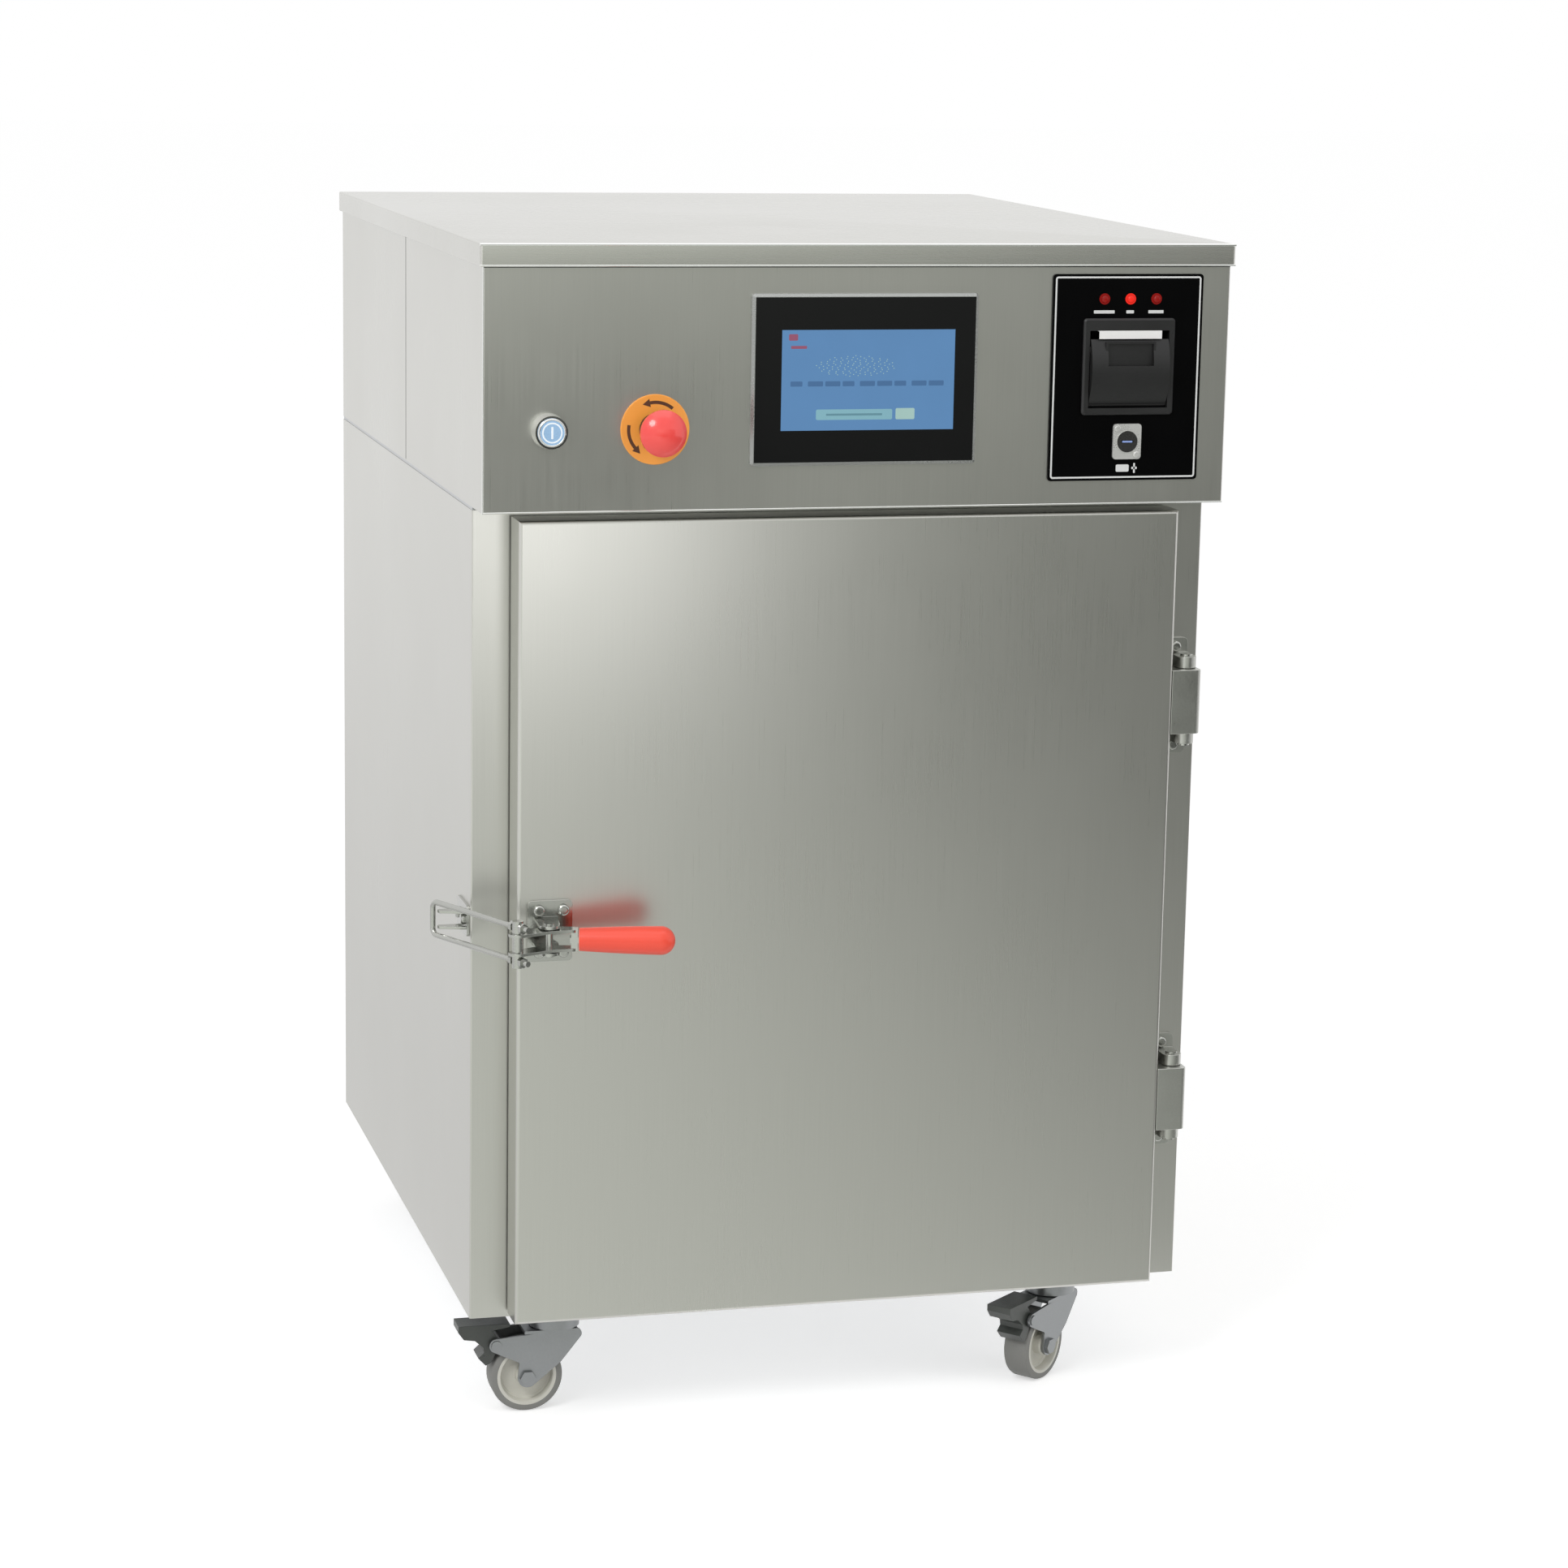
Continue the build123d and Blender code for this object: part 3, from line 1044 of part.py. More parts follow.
def printer_cover():
    """Curved door of the paper bay, which tips forward about a pin at its foot."""
    half = PRINTER_CASE_HALF_W - PRINTER_WALL - COVER_GAP
    hinge_y, hinge_z = COVER_HINGE
    top = PRINTER_MID_Z + COVER_TOP
    front = PLATE_Y - PRINTER_PROUD
    middle = (hinge_z + top) / 2
    foot_front, head_front = (hinge_y - COVER_BARREL_R, hinge_z), (front, top)
    outer = ThreePointArc(foot_front, (front - COVER_BULGE, middle), head_front)
    foot_back, head_back = (hinge_y + COVER_BARREL_R, hinge_z), (front + COVER_T, top)
    inner = ThreePointArc(foot_back, (front - COVER_BULGE + COVER_T, middle), head_back)
    band = make_face(outer + Line(head_front, head_back) + inner + Line(foot_back, foot_front))
    cheek = make_face(outer + Line(head_front, foot_front))
    x0 = PRINTER_MID_X - half
    cover = extrude(Plane.YZ.offset(x0) * band, 2 * half)
    for offset in (0.0, 2 * half - COVER_T):
        cover += extrude(Plane.YZ.offset(x0 + offset) * cheek, COVER_T)
    x = PRINTER_MID_X
    z0, z1 = PRINTER_MID_Z + RECESS_BOTTOM, PRINTER_MID_Z + RECESS_TOP
    skin = front - COVER_BULGE
    cup = block(x - RECESS_W / 2 - 2, x + RECESS_W / 2 + 2, skin + COVER_T, skin + RECESS_D + 3.5, z0 - 2, z1 + 1.5)
    cover += cup
    cover -= block(x - RECESS_W / 2, x + RECESS_W / 2, skin - 5, skin + RECESS_D, z0, z1)
    barrel = rod_x(x - half, x + half, hinge_y, hinge_z, COVER_BARREL_R)
    reach = PRINTER_CASE_HALF_W - PRINTER_WALL + COVER_STUB_L
    return cover + barrel + rod_x(x - reach, x + reach, hinge_y, hinge_z, COVER_STUB_R)


def paper_roll():
    y, z = roll_place()
    x0, x1 = PRINTER_MID_X - ROLL_W / 2, PRINTER_MID_X + ROLL_W / 2
    return rod_x(x0, x1, y, z, ROLL_R) - rod_x(x0 - 1, x1 + 1, y, z, ROLL_BORE)


def paper_strip():
    """End of the paper under the bay's roof, turned down over the slot."""
    x0, x1 = PRINTER_MID_X - ROLL_W / 2, PRINTER_MID_X + ROLL_W / 2
    top = PRINTER_MID_Z + BAY_TOP
    front = PLATE_Y - PRINTER_PROUD - PAPER_PROUD
    strip = block(x0, x1, front, PLATE_Y + PAPER_IN, top - PAPER_T, top)
    low = PRINTER_MID_Z + COVER_TOP + CUT_GAP
    return strip + block(x0, x1, front, front + PAPER_T, low, top)


def data_socket():
    """Flanged round socket with two screws."""
    x, z = SOCKET_MID_X, SOCKET_MID_Z
    flange = block(x - SOCKET_W / 2, x + SOCKET_W / 2, PLATE_Y - SOCKET_T, PLATE_Y, z - SOCKET_H / 2, z + SOCKET_H / 2)
    flange = fillet(flange.edges().filter_by(Axis.Y), SOCKET_R)
    front = PLATE_Y - SOCKET_T
    flange += rod_y(x, front - SOCKET_FACE_PROUD, front, z, SOCKET_FACE_R)
    flange += rod_y(x, PLATE_Y, PLATE_Y + SOCKET_BARREL_D, z, SOCKET_BARREL_R)
    w, h, deep = SOCKET_SLOT
    flange -= block(x - w / 2, x + w / 2, front - 2, front + deep, z - h / 2, z + h / 2)
    screws = []
    for side in (-1, 1):
        sx, sz = x + side * SOCKET_SCREW[0], z - side * SOCKET_SCREW[1]
        head = rod_y(sx, front - SOCKET_SCREW_H, front, sz, SOCKET_SCREW_R)
        screws.append(fillet(head.edges().group_by(Axis.Y)[0], SOCKET_SCREW_H * 0.6))
    return group(flange, *screws)


def stop_plate():
    x, z = STOP_AT
    plate = rod_y(x, HEAD_Y0 - STOP_PLATE_T, HEAD_Y0, z, STOP_PLATE_R)
    plate = fillet(plate.edges().group_by(Axis.Y)[0], STOP_PLATE_T * 0.5)
    return plate - rod_y(x, HEAD_Y0 - STOP_PLATE_T - 1, HEAD_Y0 + 1, z, BARREL_R + CUT_GAP)


def stop_collar():
    """Fixed body of the stop button: collar in front of the plate, barrel behind the panel."""
    x, z = STOP_AT
    back = HEAD_Y0 - STOP_PLATE_T
    front = back - STOP_COLLAR_H
    body = rod_y(x, front, back, z, STOP_COLLAR_R)
    body = fillet(body.edges().group_by(Axis.Y)[0], 1.5)
    body += rod_y(x, back, HEAD_Y0 + BARREL_D, z, BARREL_R)
    return body - rod_y(x, front - 1, HEAD_Y0 + BARREL_D - 6, z, STOP_STEM_R + BUTTON_GAP)


def stop_stem():
    x, z = STOP_AT
    stem = rod_y(x, HEAD_Y0 - STOP_HEAD_BACK, HEAD_Y0 + BARREL_D - 8 - STOP_TRAVEL, z, STOP_STEM_R)
    return stem + rod_y(x, HEAD_Y0 - STOP_HEAD_FRONT + 8, HEAD_Y0 - STOP_HEAD_BACK, z, STOP_BOSS_R)


def stop_head():
    """Red mushroom head, which turns on the stem's boss to let go."""
    x, z = STOP_AT
    back, front = HEAD_Y0 - STOP_HEAD_BACK, HEAD_Y0 - STOP_HEAD_FRONT
    rim = HEAD_Y0 - STOP_HEAD_RIM
    rise = rim - front
    dome_r = (STOP_HEAD_R**2 + rise**2) / (2 * rise)
    head = turned([(back, STOP_HEAD_R - 5), (rim + 3, STOP_HEAD_R), (front, STOP_HEAD_R)], x, z)
    head &= Pos(x, front + dome_r, z) * Sphere(dome_r)
    return head - rod_y(x, front + 8 - LATCH_RUN, back + 1, z, STOP_BOSS_R + LATCH_RUN)


def power_bezel():
    """Metal bezel of the power button with its threaded barrel behind the panel."""
    x, z = POWER_AT
    flange_y = HEAD_Y0 - POWER_FLANGE_T
    front = HEAD_Y0 - POWER_BEZEL_H
    body = turned(
        [(HEAD_Y0, POWER_FLANGE_R), (flange_y, POWER_FLANGE_R), (front, POWER_BEZEL_R)], x, z
    )
    body += rod_y(x, HEAD_Y0, HEAD_Y0 + BARREL_D, z, BARREL_R)
    floor = HEAD_Y0 - POWER_CAP_BACK + POWER_TRAVEL + CUT_GAP
    body -= rod_y(x, front - 1, floor, z, POWER_CAP_R + BUTTON_GAP)
    return body - rod_y(x, floor - 1, HEAD_Y0 + BARREL_D - 6, z, POWER_STEM_R + BUTTON_GAP)


def power_cap():
    """Lit cap on its plunger."""
    x, z = POWER_AT
    back, front = HEAD_Y0 - POWER_CAP_BACK, HEAD_Y0 - POWER_CAP_FRONT
    cap = rod_y(x, front, back, z, POWER_CAP_R)
    cap = fillet(cap.edges().group_by(Axis.Y)[0], 1.5)
    return cap + rod_y(x, back, back + POWER_STEM_L, z, POWER_STEM_R)


# Inside the head

def vacuum_pump():
    """Base plate, motor can and pump head in one casting."""
    w, d, t = PUMP_BASE
    x, y, z = PUMP_MID_X, PUMP_MID_Y, HEAD_Z0
    pump = block(x - w / 2, x + w / 2, y - d / 2, y + d / 2, z, z + t)
    motor_x = x + PUMP_HEAD[0] / 2
    pump += rod_x(motor_x - 1, motor_x + PUMP_MOTOR_L, y, PUMP_AXIS_Z, PUMP_MOTOR_R)
    w, d, h = PUMP_HEAD
    pump += block(x - w / 2, x + w / 2, y - d / 2, y + d / 2, z + t, z + t + h)
    return pump


def vacuum_pipes():
    """Suction tube from the chamber's roof to the pump, and exhaust pipe out of the back."""
    y0 = PUMP_MID_Y + PUMP_HEAD[1] / 2
    exhaust = rod_y(PUMP_MID_X, y0, TOP_Y1 + REAR_REACH, PUMP_PORT_Z, PIPE_R)
    exhaust += rod_y(PUMP_MID_X, HEAD_Y1, HEAD_Y1 + FERRULE_T, PUMP_PORT_Z, PIPE_R + FERRULE_T)
    exhaust -= rod_y(PUMP_MID_X, y0 + SHEET, TOP_Y1 + REAR_REACH + 1, PUMP_PORT_Z, PIPE_BORE)
    x, y = SUCTION_AT
    start = (x, y, CHAMBER_Z1 - FERRULE_T)
    pump_face = PUMP_MID_Y - PUMP_HEAD[1] / 2
    path = FilletPolyline(start, (x, y, PUMP_AXIS_Z), (x, pump_face, PUMP_AXIS_Z), radius=SUCTION_BEND)
    mouth = Plane(origin=start, z_dir=(0, 0, 1))
    suction = sweep(mouth * (Circle(SUCTION_R) - Circle(SUCTION_BORE)), path)
    ring = rod_z(*SUCTION_AT, CHAMBER_Z1 + SHEET, CHAMBER_Z1 + SHEET + FERRULE_T, FERRULE_R)
    ring -= rod_z(*SUCTION_AT, CHAMBER_Z1, CHAMBER_Z1 + 4 * FERRULE_T, SUCTION_BORE + 1)
    return group(exhaust, suction + ring)


def control_electronics():
    """Controller and power supply on the deck, behind the screen."""
    x, y, z = HEAD_X0 + ELECTRONICS_IN, HEAD_Y0 + ELECTRONICS_Y, HEAD_Z0
    w, d, h = CONTROLLER
    controller = block(x, x + w, y, y + d, z, z + h)
    for i in range(8):
        rib = x + 12 + i * (w - 24) / 7
        controller += block(rib - 1.5, rib + 1.5, y + 8, y + d - 8, z + h, z + h + 8)
    w2, d2, h2 = SUPPLY
    supply = block(x, x + w2, y + d + 15, y + d + 15 + d2, z, z + h2)
    return group(controller, supply)


def power_inlet():
    """Appliance inlet at the back: flange, well and three blades."""
    x, z = INLET_AT
    flange = block(x - INLET_W / 2, x + INLET_W / 2, HEAD_Y1, HEAD_Y1 + INLET_T, z - INLET_H / 2, z + INLET_H / 2)
    flange = fillet(flange.edges().filter_by(Axis.Y), 4)
    w, h, deep = INLET_BODY
    flange += block(x - w / 2, x + w / 2, HEAD_Y1 - deep, HEAD_Y1, z - h / 2, z + h / 2)
    w, h, deep = INLET_WELL
    back = HEAD_Y1 + INLET_T
    flange -= block(x - w / 2, x + w / 2, back - deep, back + 1, z - h / 2, z + h / 2)
    t, h, length = INLET_BLADE
    for dx, dz in ((-INLET_PITCH, -1.5), (INLET_PITCH, -1.5), (0.0, 2.0)):
        flange += block(
            x + dx - t / 2, x + dx + t / 2, back - deep - 1, back - deep + length, z + dz - h / 2, z + dz + h / 2
        )
    return flange


# Castors, drawn with the wheel trailing towards -X and the fork's crown above the origin

def bolt_places(x, y):
    """Bolt holes of a castor's top plate."""
    w, d = MOUNT_HOLES
    return [(x + sx * w / 2, y + sy * d / 2) for sx in (-1, 1) for sy in (-1, 1)]


def mount_bolts(x, y):
    bolts = []
    under = CASTER_H - MOUNT_PLATE[2]
    for bx, by in bolt_places(x, y):
        bolt = rod_z(bx, by, under - MOUNT_BOLT_HEAD_H, under, MOUNT_BOLT_HEAD)
        bolts.append(bolt + rod_z(bx, by, under, CASTER_H + PAN_T + 3, MOUNT_BOLT_R))
    return bolts


def mount_plate(x, y):
    """Top plate with its four bolt holes."""
    w, d, t = MOUNT_PLATE
    plate = block(x - w / 2, x + w / 2, y - d / 2, y + d / 2, CASTER_H - t, CASTER_H)
    plate = fillet(plate.edges().filter_by(Axis.Z), 6)
    for bx, by in bolt_places(x, y):
        plate -= rod_z(bx, by, CASTER_H - t - 1, CASTER_H + 1, MOUNT_BOLT_R)
    return plate


def caster_plates():
    """Top plates of the two front castors, each with its race and king pin."""
    pieces = []
    for name in ("front_left", "front_right"):
        x, y = CASTER_AT[name]
        plate = mount_plate(x, y)
        under = CASTER_H - MOUNT_PLATE[2]
        plate += rod_z(x, y, FORK_TOP + RACE_GAP, under + 0.1, RACE_R)
        nut_z = FORK_TOP - CROWN_T - RACE_GAP
        plate += rod_z(x, y, nut_z - KING_NUT_H, under, KING_R)
        plate += rod_z(x, y, nut_z - KING_NUT_H, nut_z, KING_NUT_R)
        pieces.append(plate)
    return group(*pieces)


def fork_side():
    """One side of the swivel fork: an arm for the brake pedal and a leg for the axle."""
    corner = (FORK_FRONT, FORK_TOP - FORK_ARM_R, FORK_ARM_R)
    waist = (0.0, FORK_WAIST_Z, FORK_ARM_R)
    arm = [(*PEDAL_PIVOT, PEDAL_HUB_R), corner, waist, (-FORK_BACK, FORK_WAIST_Z, FORK_ARM_R)]
    leg = [(-TRAIL, WHEEL_R, FORK_FOOT_R), (-FORK_BACK, FORK_WAIST_Z, FORK_KNEE_R), waist]
    return slab(arm, 0, FORK_T, "XZ") + slab(leg, 0, FORK_T, "XZ")


def swivel_fork():
    """Pressed fork with its axle bolt, in the castor's own frame."""
    fork = None
    for y in (-FORK_IN - FORK_T, FORK_IN):
        side = Pos(0, y, 0) * fork_side()
        fork = side if fork is None else fork + side
    reach = FORK_IN + FORK_T
    fork += block(-CROWN_HALF, CROWN_FRONT, -reach, reach, FORK_TOP - CROWN_T, FORK_TOP)
    fork -= rod_z(0, 0, FORK_TOP - 10, FORK_TOP + 1, KING_R + KING_GAP)
    fork -= rod_y(-TRAIL, -reach - 1, reach + 1, WHEEL_R, AXLE_R)
    fork -= rod_y(PEDAL_PIVOT[0], -reach - 1, reach + 1, PEDAL_PIVOT[1], PEDAL_PIN_R)
    rivet = rod_y(PEDAL_PIVOT[0], -reach, reach, PEDAL_PIVOT[1], PEDAL_PIN_R)
    for low in (-reach - 1.2, reach):
        rivet += rod_y(PEDAL_PIVOT[0], low, low + 1.2, PEDAL_PIVOT[1], PEDAL_PIN_R + 1.8)
    return [fork, axle_bolt(-TRAIL), rivet]


def axle_bolt(x):
    """Bolt through the fork and the hub, with a hexagon at each end."""
    reach = FORK_IN + FORK_T
    bolt = rod_y(x, -reach, reach, WHEEL_R, AXLE_R)
    for low in (-reach - 3.5, reach):
        hexagon = extrude(RegularPolygon(6.5, 6, major_radius=False), 3.5)
        bolt += Pos(x, low + 3.5, WHEEL_R) * Rot(90, 0, 0) * hexagon
    return bolt


def wheel(x):
    """Moulded wheel: core with rim, web and hub, and the tread bonded round it."""
    rim_r = WHEEL_R - TREAD
    tread = rod_y(x, -WHEEL_W / 2, WHEEL_W / 2, WHEEL_R, WHEEL_R)
    tread = fillet(tread.edges(), 3.0)
    tread -= rod_y(x, -WHEEL_W, WHEEL_W, WHEEL_R, rim_r)
    half = WHEEL_W / 2 - 1.0
    core = rod_y(x, -half, half, WHEEL_R, rim_r) - rod_y(x, -half - 1, half + 1, WHEEL_R, rim_r - RIM_T)
    core += rod_y(x, -WHEEL_WEB / 2, WHEEL_WEB / 2, WHEEL_R, rim_r - RIM_T / 2)
    core += rod_y(x, -HUB_W / 2, HUB_W / 2, WHEEL_R, HUB_R)
    core -= rod_y(x, -HUB_W, HUB_W, WHEEL_R, AXLE_R + AXLE_GAP)
    return [tread, core]


def brake_pedal():
    """Pedal on the fork's rivet: foot pad above, brake shoe beside the tread."""
    px, pz = PEDAL_PIVOT
    w = PEDAL_HALF_W
    outline = Polyline(
        [
            (px - 34, pz + 19), (px + 13, pz + 19), (px + 13, pz + 15.5), (px - 3, pz + 13), (px + 3, pz + 4),
            (px + 2, pz - 5), (px - 4, pz - 17), (px - 9, pz - 19.5), (px - 16, pz - 12), (px - 10.5, pz - 7),
            (px - 11.5, pz - 2), (px - 19, pz + 4.5), (px - 29, pz + 6), (px - 34, pz + 13),
        ],
        close=True,
    )
    pedal = extrude(make_face(outline), 2 * w) + Pos(px, pz, 0) * Cylinder(PEDAL_HUB_R, 2 * w, align=STAND)
    pedal = Pos(0, w, 0) * Rot(90, 0, 0) * pedal
    return pedal - rod_y(px, -w - 1, w + 1, pz, PEDAL_PIN_R + PEDAL_PIN_GAP)


def placed(name, pieces):
    """Castor pieces moved under their plate and turned to where the photograph shows them."""
    x, y = CASTER_AT[name]
    place = Pos(x, y, 0) * Rot(0, 0, SWIVEL_REST[name.split("_")[1]])
    return group(*[place * piece for piece in pieces])


def rear_placed(name, pieces):
    x, y = CASTER_AT[name]
    return group(*[Pos(x, y, 0) * Rot(0, 0, 90) * piece for piece in pieces])


def rear_forks():
    """Two rigid forks, each with its own top plate and axle bolt."""
    pieces = []
    reach = FORK_IN + FORK_T
    under = CASTER_H - MOUNT_PLATE[2]
    for name in ("rear_left", "rear_right"):
        x, y = CASTER_AT[name]
        fork = None
        for y_side in (-reach, FORK_IN):
            shoulder, high = CROWN_HALF - 6.0, under - 8.0
            side = [(0, WHEEL_R, FORK_FOOT_R), (-shoulder, high, 6.0), (shoulder, high, 6.0)]
            side = slab(side, 0, FORK_T, "XZ")
            side = Pos(0, y_side, 0) * side
            fork = side if fork is None else fork + side
        fork += block(-CROWN_HALF, CROWN_HALF, -reach, reach, under - CROWN_T, under)
        fork -= rod_y(0, -reach - 1, reach + 1, WHEEL_R, AXLE_R)
        fork = Pos(x, y, 0) * Rot(0, 0, 90) * fork + mount_plate(x, y)
        pieces += [fork, Pos(x, y, 0) * Rot(0, 0, 90) * axle_bolt(0)]
    return group(*pieces)


NODES = {
    "base_pan": base_pan,
    "body_wrap": body_wrap,
    "front_frame": front_frame,
    "top_deck": top_deck,
    "chamber_liner": chamber_liner,
    "insulation": insulation,
    "rear_baffle": rear_baffle,
    "heating_element": heating_element,
    "fan_motor": fan_motor,
    "fan_impeller": fan_impeller,
    "shelf_rails": shelf_rails,
    "shelf_lower": lambda: shelf(SHELF_LEVELS[0]),
    "shelf_upper": lambda: shelf(SHELF_LEVELS[1]),
    "vacuum_pump": vacuum_pump,
    "vacuum_pipes": vacuum_pipes,
    "control_electronics": control_electronics,
    "power_inlet": power_inlet,
    "console_shell": console_shell,
    "rear_housing": rear_housing,
    "top_cover": top_cover,
    "screen_bezel": screen_bezel,
    "screen_glass": screen_glass,
    "printer_plate": printer_plate,
    "indicator_lamps": indicator_lamps,
    "printer_frame": printer_frame,
    "printer_cover": printer_cover,
    "paper_roll": paper_roll,
    "paper_strip": paper_strip,
    "data_socket": data_socket,
    "stop_plate": stop_plate,
    "stop_collar": stop_collar,
    "stop_stem": stop_stem,
    "stop_head": stop_head,
    "power_bezel": power_bezel,
    "power_cap": power_cap,
    "hinge_brackets": hinge_brackets,
    "hinge_pins": hinge_pins,
    "hinge_blocks": hinge_blocks,
    "cabinet_fasteners": cabinet_fasteners,
    "door_skin": door_skin,
    "door_inner_panel": door_inner_panel,
    "door_insulation": door_insulation,
    "door_gasket": door_gasket,
    "latch_base": latch_base,
    "latch_fasteners": latch_fasteners,
    "latch_lever": latch_lever,
    "latch_grip": latch_grip,
    "hook_trunnion": hook_trunnion,
    "hook_bolt": hook_bolt,
    "latch_catch": latch_catch,
    "caster_plates": caster_plates,
    "rear_forks": rear_forks,
}
for corner in ("front_left", "front_right"):
    NODES["fork_" + corner] = lambda corner=corner: placed(corner, swivel_fork())
    NODES["wheel_" + corner] = lambda corner=corner: placed(corner, wheel(-TRAIL))
    NODES["pedal_" + corner] = lambda corner=corner: placed(corner, [brake_pedal()])
for corner in ("rear_left", "rear_right"):
    NODES["wheel_" + corner] = lambda corner=corner: rear_placed(corner, wheel(0))

os.makedirs("parts", exist_ok=True)
for node, make in NODES.items():
    export_step(make(), f"parts/{node}.step")
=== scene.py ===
import math

import bmesh
import bpy
from mathutils import Matrix, Vector


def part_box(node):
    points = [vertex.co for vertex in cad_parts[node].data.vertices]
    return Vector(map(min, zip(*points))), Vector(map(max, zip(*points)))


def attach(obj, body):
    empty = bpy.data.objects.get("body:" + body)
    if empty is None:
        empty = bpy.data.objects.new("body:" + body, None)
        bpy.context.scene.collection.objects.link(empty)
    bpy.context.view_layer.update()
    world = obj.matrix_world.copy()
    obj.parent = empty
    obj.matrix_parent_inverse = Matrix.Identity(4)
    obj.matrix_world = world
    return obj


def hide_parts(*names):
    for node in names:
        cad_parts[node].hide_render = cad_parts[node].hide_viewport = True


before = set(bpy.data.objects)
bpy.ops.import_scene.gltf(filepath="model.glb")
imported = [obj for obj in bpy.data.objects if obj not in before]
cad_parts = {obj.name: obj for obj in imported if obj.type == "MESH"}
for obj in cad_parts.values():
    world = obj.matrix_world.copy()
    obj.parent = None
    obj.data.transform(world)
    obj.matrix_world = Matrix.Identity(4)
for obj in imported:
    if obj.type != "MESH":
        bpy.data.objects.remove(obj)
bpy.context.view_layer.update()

# The studio: a long lens a little left of the object and above its top, a white floor, a pale world,
# one soft lamp high on the left, one weaker on the right, and grey and white cards that only the
# steel mirrors. A card is a stage sheet whose brightness fades across it.
camera = bpy.data.objects.new("studio_camera", bpy.data.cameras.new("studio_camera"))
camera.data.lens = 92.715
camera.data.sensor_width = 36.0
camera.data.clip_end = 60.0
camera.matrix_world = (
    Matrix.Translation((-0.9454, -3.7046, 1.2796))
    @ Matrix.Rotation(math.radians(-15.037), 4, "Z")
    @ Matrix.Rotation(math.radians(-11.348), 4, "X")
    @ Matrix.Rotation(math.radians(-1.050), 4, "Y")
    @ Matrix.Rotation(math.radians(90), 4, "X")
)
bpy.context.collection.objects.link(camera)
bpy.context.scene.camera = camera
bpy.context.scene.view_settings.view_transform = "Standard"


def seen_directly(nodes, links):
    """One for rays from the camera, from a mirror or through glass, and zero for the rest."""
    path = nodes.new("ShaderNodeLightPath")
    total = path.outputs["Is Camera Ray"]
    for name in ("Is Glossy Ray", "Is Transmission Ray"):
        either = nodes.new("ShaderNodeMath")
        either.operation = "MAXIMUM"
        links.new(total, either.inputs[0])
        links.new(path.outputs[name], either.inputs[1])
        total = either.outputs[0]
    return total


def pale_world():
    world = bpy.data.worlds.new("pale_studio")
    bpy.context.scene.world = world
    world.use_nodes = True
    nodes, links = world.node_tree.nodes, world.node_tree.links
    background = nodes["Background"]
    background.inputs["Color"].default_value = (1, 1, 1, 1)
    level = nodes.new("ShaderNodeMapRange")
    level.inputs["To Min"].default_value = 0.62
    level.inputs["To Max"].default_value = 1.0
    links.new(seen_directly(nodes, links), level.inputs["Value"])
    links.new(level.outputs["Result"], background.inputs["Strength"])


def stage_sheet(name, place, width, height):
    """A flat sheet facing its own +Z."""
    mesh = bpy.data.meshes.new(name)
    shape = bmesh.new()
    bmesh.ops.create_grid(shape, x_segments=1, y_segments=1, size=0.5)
    bmesh.ops.scale(shape, vec=(width, height, 1), verts=shape.verts)
    shape.to_mesh(mesh)
    shape.free()
    sheet = bpy.data.objects.new(name, mesh)
    sheet.matrix_world = place
    bpy.context.collection.objects.link(sheet)
    return sheet


def white_floor():
    floor = stage_sheet("studio_floor", Matrix.Translation((0, 0, 0)), 60, 60)
    paint = bpy.data.materials.new("studio_floor")
    paint.use_nodes = True
    nodes, links = paint.node_tree.nodes, paint.node_tree.links
    shader = nodes["Principled BSDF"]
    shader.inputs["Base Color"].default_value = (0.8, 0.8, 0.8, 1)
    shader.inputs["Roughness"].default_value = 1.0
    shader.inputs["Specular IOR Level"].default_value = 0.0
    shader.inputs["Emission Color"].default_value = (0.5, 0.5, 0.5, 1)
    links.new(seen_directly(nodes, links), shader.inputs["Emission Strength"])
    floor.data.materials.append(paint)


